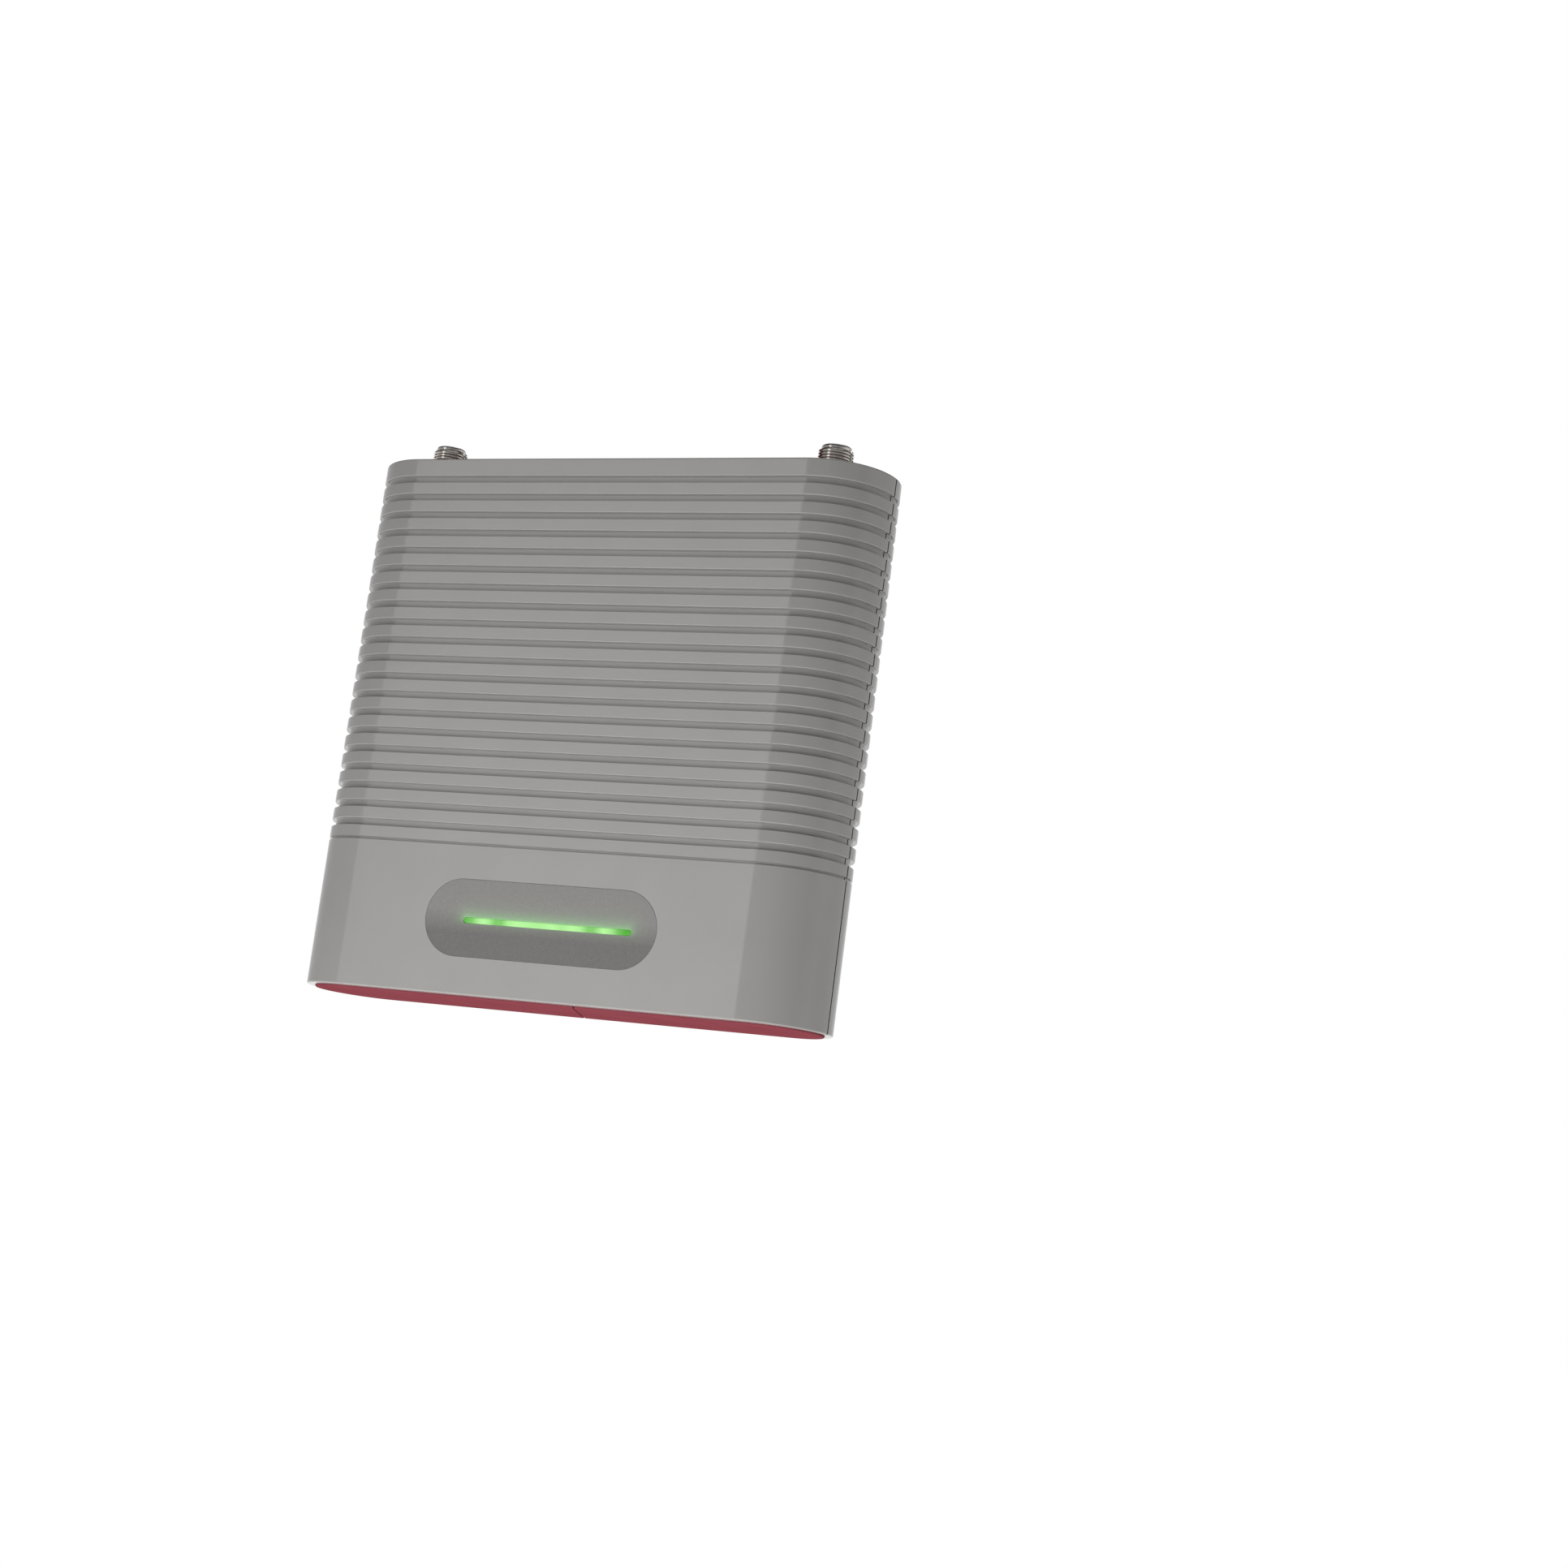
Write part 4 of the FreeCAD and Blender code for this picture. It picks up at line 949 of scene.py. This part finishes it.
def board_green():
    """Solder mask with a fine net of tracks under it and small tinned pads."""
    made = Nodes("green_circuit_board")
    tracks = made.add("TexBrick")
    tracks.offset = 0.37
    tracks.inputs["Scale"].default_value = 1.0
    tracks.inputs["Mortar Size"].default_value = TRACK_WIDTH * MM
    tracks.inputs["Brick Width"].default_value = TRACK_LENGTH * MM
    tracks.inputs["Row Height"].default_value = TRACK_SPACING * MM
    turn = made.add("Mapping")
    turn.inputs["Rotation"].default_value = (math.radians(90), 0, 0)
    made.join(made.place, turn.inputs["Vector"])
    made.join(turn.outputs["Vector"], tracks.inputs["Vector"])
    pads = made.add("TexVoronoi")
    pads.inputs["Scale"].default_value = 240
    made.join(made.place, pads.inputs["Vector"])
    pad = made.math("LESS_THAN", pads.outputs["Distance"], 0.13)
    mask = made.blend(made.spread(made.noise(90, 3), 0, 1), (0.012, 0.085, 0.042), (0.018, 0.110, 0.055))
    tracked = made.blend(tracks.outputs["Fac"], mask, (0.030, 0.165, 0.080))
    made.colour(made.blend(pad, tracked, (0.62, 0.60, 0.55)))
    made.join(pad, made.shader.inputs["Metallic"])
    made.roughness(made.spread(made.noise(700), 0.28, 0.40))
    made.bump(tracks.outputs["Fac"], 0.00002, 0.5)
    return made.material


def capacitor_can():
    """A drawn can on a black foot, with a dark stripe down one side."""
    made = Nodes("drawn_can_on_black_foot")
    foot = made.math("GREATER_THAN", made.axis("Y"), CAN_FOOT * MM)
    across = made.math("PINGPONG", made.math("ADD", made.axis("X"), STRIPE_SHIFT * MM), STRIPE_SPACING * MM)
    stripe = made.math("LESS_THAN", across, STRIPE_WIDTH * MM)
    dark = made.math("MAXIMUM", foot, stripe)
    metal = made.blend(made.spread(made.noise(300), 0, 1), (0.66, 0.66, 0.68), (0.76, 0.76, 0.78))
    made.colour(made.blend(dark, metal, (0.02, 0.02, 0.022)))
    made.join(made.math("SUBTRACT", 1.0, dark), made.shader.inputs["Metallic"])
    made.roughness(made.spread(made.noise(900), 0.22, 0.36))
    made.bump(made.noise(2500, 2), 0.000005, 0.3)
    return made.material


def filter_ceramic():
    """Glazed ceramic blocks with silvered ends."""
    made = Nodes("silvered_filter_ceramic")
    side = made.math("SUBTRACT", made.math("ABSOLUTE", made.axis("X")), FILTER_X * MM)
    silver = made.math("GREATER_THAN", made.math("ABSOLUTE", side), SILVER_FROM * MM)
    glaze = made.blend(made.spread(made.noise(400, 3), 0, 1), (0.50, 0.45, 0.35), (0.60, 0.55, 0.45))
    made.colour(made.blend(silver, glaze, (0.70, 0.69, 0.66)))
    made.join(silver, made.shader.inputs["Metallic"])
    made.roughness(made.spread(made.noise(1200), 0.25, 0.42))
    made.bump(made.noise(2600, 2), 0.000006, 0.3)
    return made.material


def dress(material, *names):
    """Gives carried-over CAD nodes their material."""
    for name in names:
        mesh = nodes[name].data
        mesh.materials.clear()
        mesh.materials.append(material)


paint = painted_casting()
red = finish("satin_red_plastic", RED_DARK, RED_LIGHT, (0.50, 0.58),
             cloud=80, grain=7000, relief=0.000002, Specular_IOR_Level=0.0)
nickel = finish("bright_nickel", (0.64, 0.62, 0.59), (0.72, 0.70, 0.67), (0.13, 0.20),
                cloud=200, relief=0.000002, stretch=(1, 1, 4), Metallic=1.0)
zinc = finish("zinc_plated_steel", (0.50, 0.50, 0.50), (0.60, 0.60, 0.58), (0.28, 0.42), Metallic=1.0)
black_zinc = finish("black_zinc_steel", (0.045, 0.045, 0.048), (0.075, 0.075, 0.078), (0.32, 0.46),
                    Metallic=1.0)
tin = finish("bright_tin_plate", (0.56, 0.55, 0.52), (0.66, 0.65, 0.62), (0.20, 0.34),
             stretch=(1, 1, 0.08), Metallic=1.0)
gold = finish("gold_flash", (0.76, 0.55, 0.22), (0.86, 0.66, 0.31), (0.18, 0.28), cloud=400, Metallic=1.0)
nylon = finish("black_nylon", (0.017, 0.017, 0.019), (0.026, 0.026, 0.028), (0.42, 0.56),
               cloud=300, relief=0.00002)
epoxy = finish("black_epoxy", (0.020, 0.020, 0.022), (0.033, 0.033, 0.035), (0.48, 0.62),
               cloud=500, relief=0.00002)
ferrite = finish("pressed_ferrite", (0.055, 0.055, 0.060), (0.095, 0.095, 0.100), (0.55, 0.72),
                 cloud=900, grain=2200, relief=0.00003)
fired = finish("fired_ceramic", (0.31, 0.21, 0.12), (0.41, 0.29, 0.18), (0.38, 0.50), cloud=600)
silicone = finish("soft_thermal_silicone", (0.40, 0.57, 0.65), (0.49, 0.66, 0.74), (0.60, 0.75),
                  cloud=500, grain=1800, relief=0.00003)
foam = finish("black_foam_tape", (0.022, 0.022, 0.022), (0.040, 0.040, 0.040), (0.75, 0.90),
              cloud=900, grain=2600, relief=0.00005)
resin = finish("clear_lamp_resin", (0.74, 0.72, 0.55), (0.85, 0.83, 0.68), (0.16, 0.28), cloud=600)

# The ports' contacts and insulators aren't listed and keep the plain materials they come with.
dress(nickel, "power_jack_pin", "power_jack_terminal")
dress(zinc, "led_board_screws", "board_screws", "surface_wave_filters", "oscillator")
dress(gold, "led_header_pins", "power_jack_spring")
dress(black_zinc, "case_screws")
dress(tin, "shield_frame_left", "shield_frame_right", "shield_lid_left", "shield_lid_right")
dress(nylon, "power_jack_housing", "led_header_block")
dress(epoxy, "power_amplifiers", "low_noise_amplifiers", "control_chip", "voltage_regulators")
dress(ferrite, "power_inductors")
dress(fired, "ceramic_capacitors")
dress(silicone, "thermal_pad_left", "thermal_pad_right")
dress(foam, "lens_adhesive")
dress(resin, "status_leds")
dress(board_green(), "main_board", "led_board")
dress(capacitor_can(), "electrolytic_capacitors")
dress(filter_ceramic(), "duplexer_filters")

make_camera()
make_front_shell(paint)
make_rear_shell(paint)
make_top_panel(red)
make_bottom_cover("bottom_cover_left_half", "bottom_cover_left", LEFT, red)
make_bottom_cover("bottom_cover_right_half", "bottom_cover_right", RIGHT, red)
make_lens(window_grey())
make_light_bar(green_light())
make_port("outside", LEFT, nickel)
make_port("inside", RIGHT, nickel)


# Studio

def make_studio():
    """White behind the object. Matt surfaces are lit by a soft surround that is brighter in front and below,
    and glossy ones mirror the bands and sectors of CEILING and AROUND instead."""
    scene = bpy.context.scene
    scene.view_settings.view_transform = "Standard"
    world = bpy.data.worlds.new("studio")
    scene.world = world
    world.use_nodes = True
    tree = world.node_tree

    def add(kind, **settings):
        made = tree.nodes.new("ShaderNode" + kind)
        for key, value in settings.items():
            setattr(made, key, value)
        return made

    place = add("TexCoord").outputs["Generated"]
    path = add("LightPath").outputs
    surround = tree.nodes["Background"]
    banded, white = add("Background"), add("Background")
    for background, grey in ((surround, 1.0), (banded, BAND_GREY), (white, 1.0)):
        background.inputs["Color"].default_value = (grey, grey, grey, 1)
    slope = add("VectorMath", operation="DOT_PRODUCT")
    slope.inputs[1].default_value = SURROUND_SLOPE
    level = add("Math", operation="ADD")
    level.inputs[1].default_value = SURROUND_LEVEL
    height = add("SeparateXYZ")
    bands = ramp_node(tree, CEILING)
    bearing = add("TexGradient", gradient_type="RADIAL")
    sectors = ramp_node(tree, AROUND)
    product = add("Math", operation="MULTIPLY")
    gloss, behind = add("MixShader"), add("MixShader")
    for source, target in (
        (place, slope.inputs[0]),
        (slope.outputs["Value"], level.inputs[0]),
        (level.outputs["Value"], surround.inputs["Strength"]),
        (place, height.inputs["Vector"]),
        (height.outputs["Z"], bands.inputs["Fac"]),
        (place, bearing.inputs["Vector"]),
        (bearing.outputs["Fac"], sectors.inputs["Fac"]),
        (bands.outputs["Color"], product.inputs[0]),
        (sectors.outputs["Color"], product.inputs[1]),
        (product.outputs["Value"], banded.inputs["Strength"]),
        (path["Is Glossy Ray"], gloss.inputs["Fac"]),
        (surround.outputs["Background"], gloss.inputs[1]),
        (banded.outputs["Background"], gloss.inputs[2]),
        (path["Is Camera Ray"], behind.inputs["Fac"]),
        (gloss.outputs["Shader"], behind.inputs[1]),
        (white.outputs["Background"], behind.inputs[2]),
        (behind.outputs["Shader"], tree.nodes["World Output"].inputs["Surface"]),
    ):
        tree.links.new(source, target)


def make_floor():
    half, z = FLOOR_HALF, -FLOOR_DROP
    corners = [(-half, -half, z), (half, -half, z), (half, half, z), (-half, half, z)]
    shape = Shape()
    shape.cap(shape.ring(corners))
    floor = mesh_object("floor", shape)
    look = Nodes("pale_floor")
    look.shader.inputs["Base Color"].default_value = (FLOOR_GREY, FLOOR_GREY, FLOOR_GREY, 1)
    look.shader.inputs["Emission Color"].default_value = (1, 1, 1, 1)
    look.set(Roughness=0.9, Emission_Strength=FLOOR_GLOW)
    floor.data.materials.append(look.material)


def soft_light(name, azimuth, elevation, distance, width, height, power):
    """A rectangular light that faces the middle of the case."""
    middle = Vector((0, 0, LIGHT_TARGET * MM))
    side, up = math.radians(azimuth), math.radians(elevation)
    outward = Vector((math.sin(side) * math.cos(up), -math.cos(side) * math.cos(up), math.sin(up)))
    data = bpy.data.lights.new(name, "AREA")
    data.shape = "RECTANGLE"
    data.size = width
    data.size_y = height
    data.energy = power
    light = bpy.data.objects.new(name, data)
    bpy.context.scene.collection.objects.link(light)
    light.location = middle + outward * distance
    light.rotation_euler = outward.to_track_quat("Z", "Y").to_euler()


make_studio()
make_floor()
for light_name, settings in LIGHTS.items():
    soft_light(light_name, *settings)
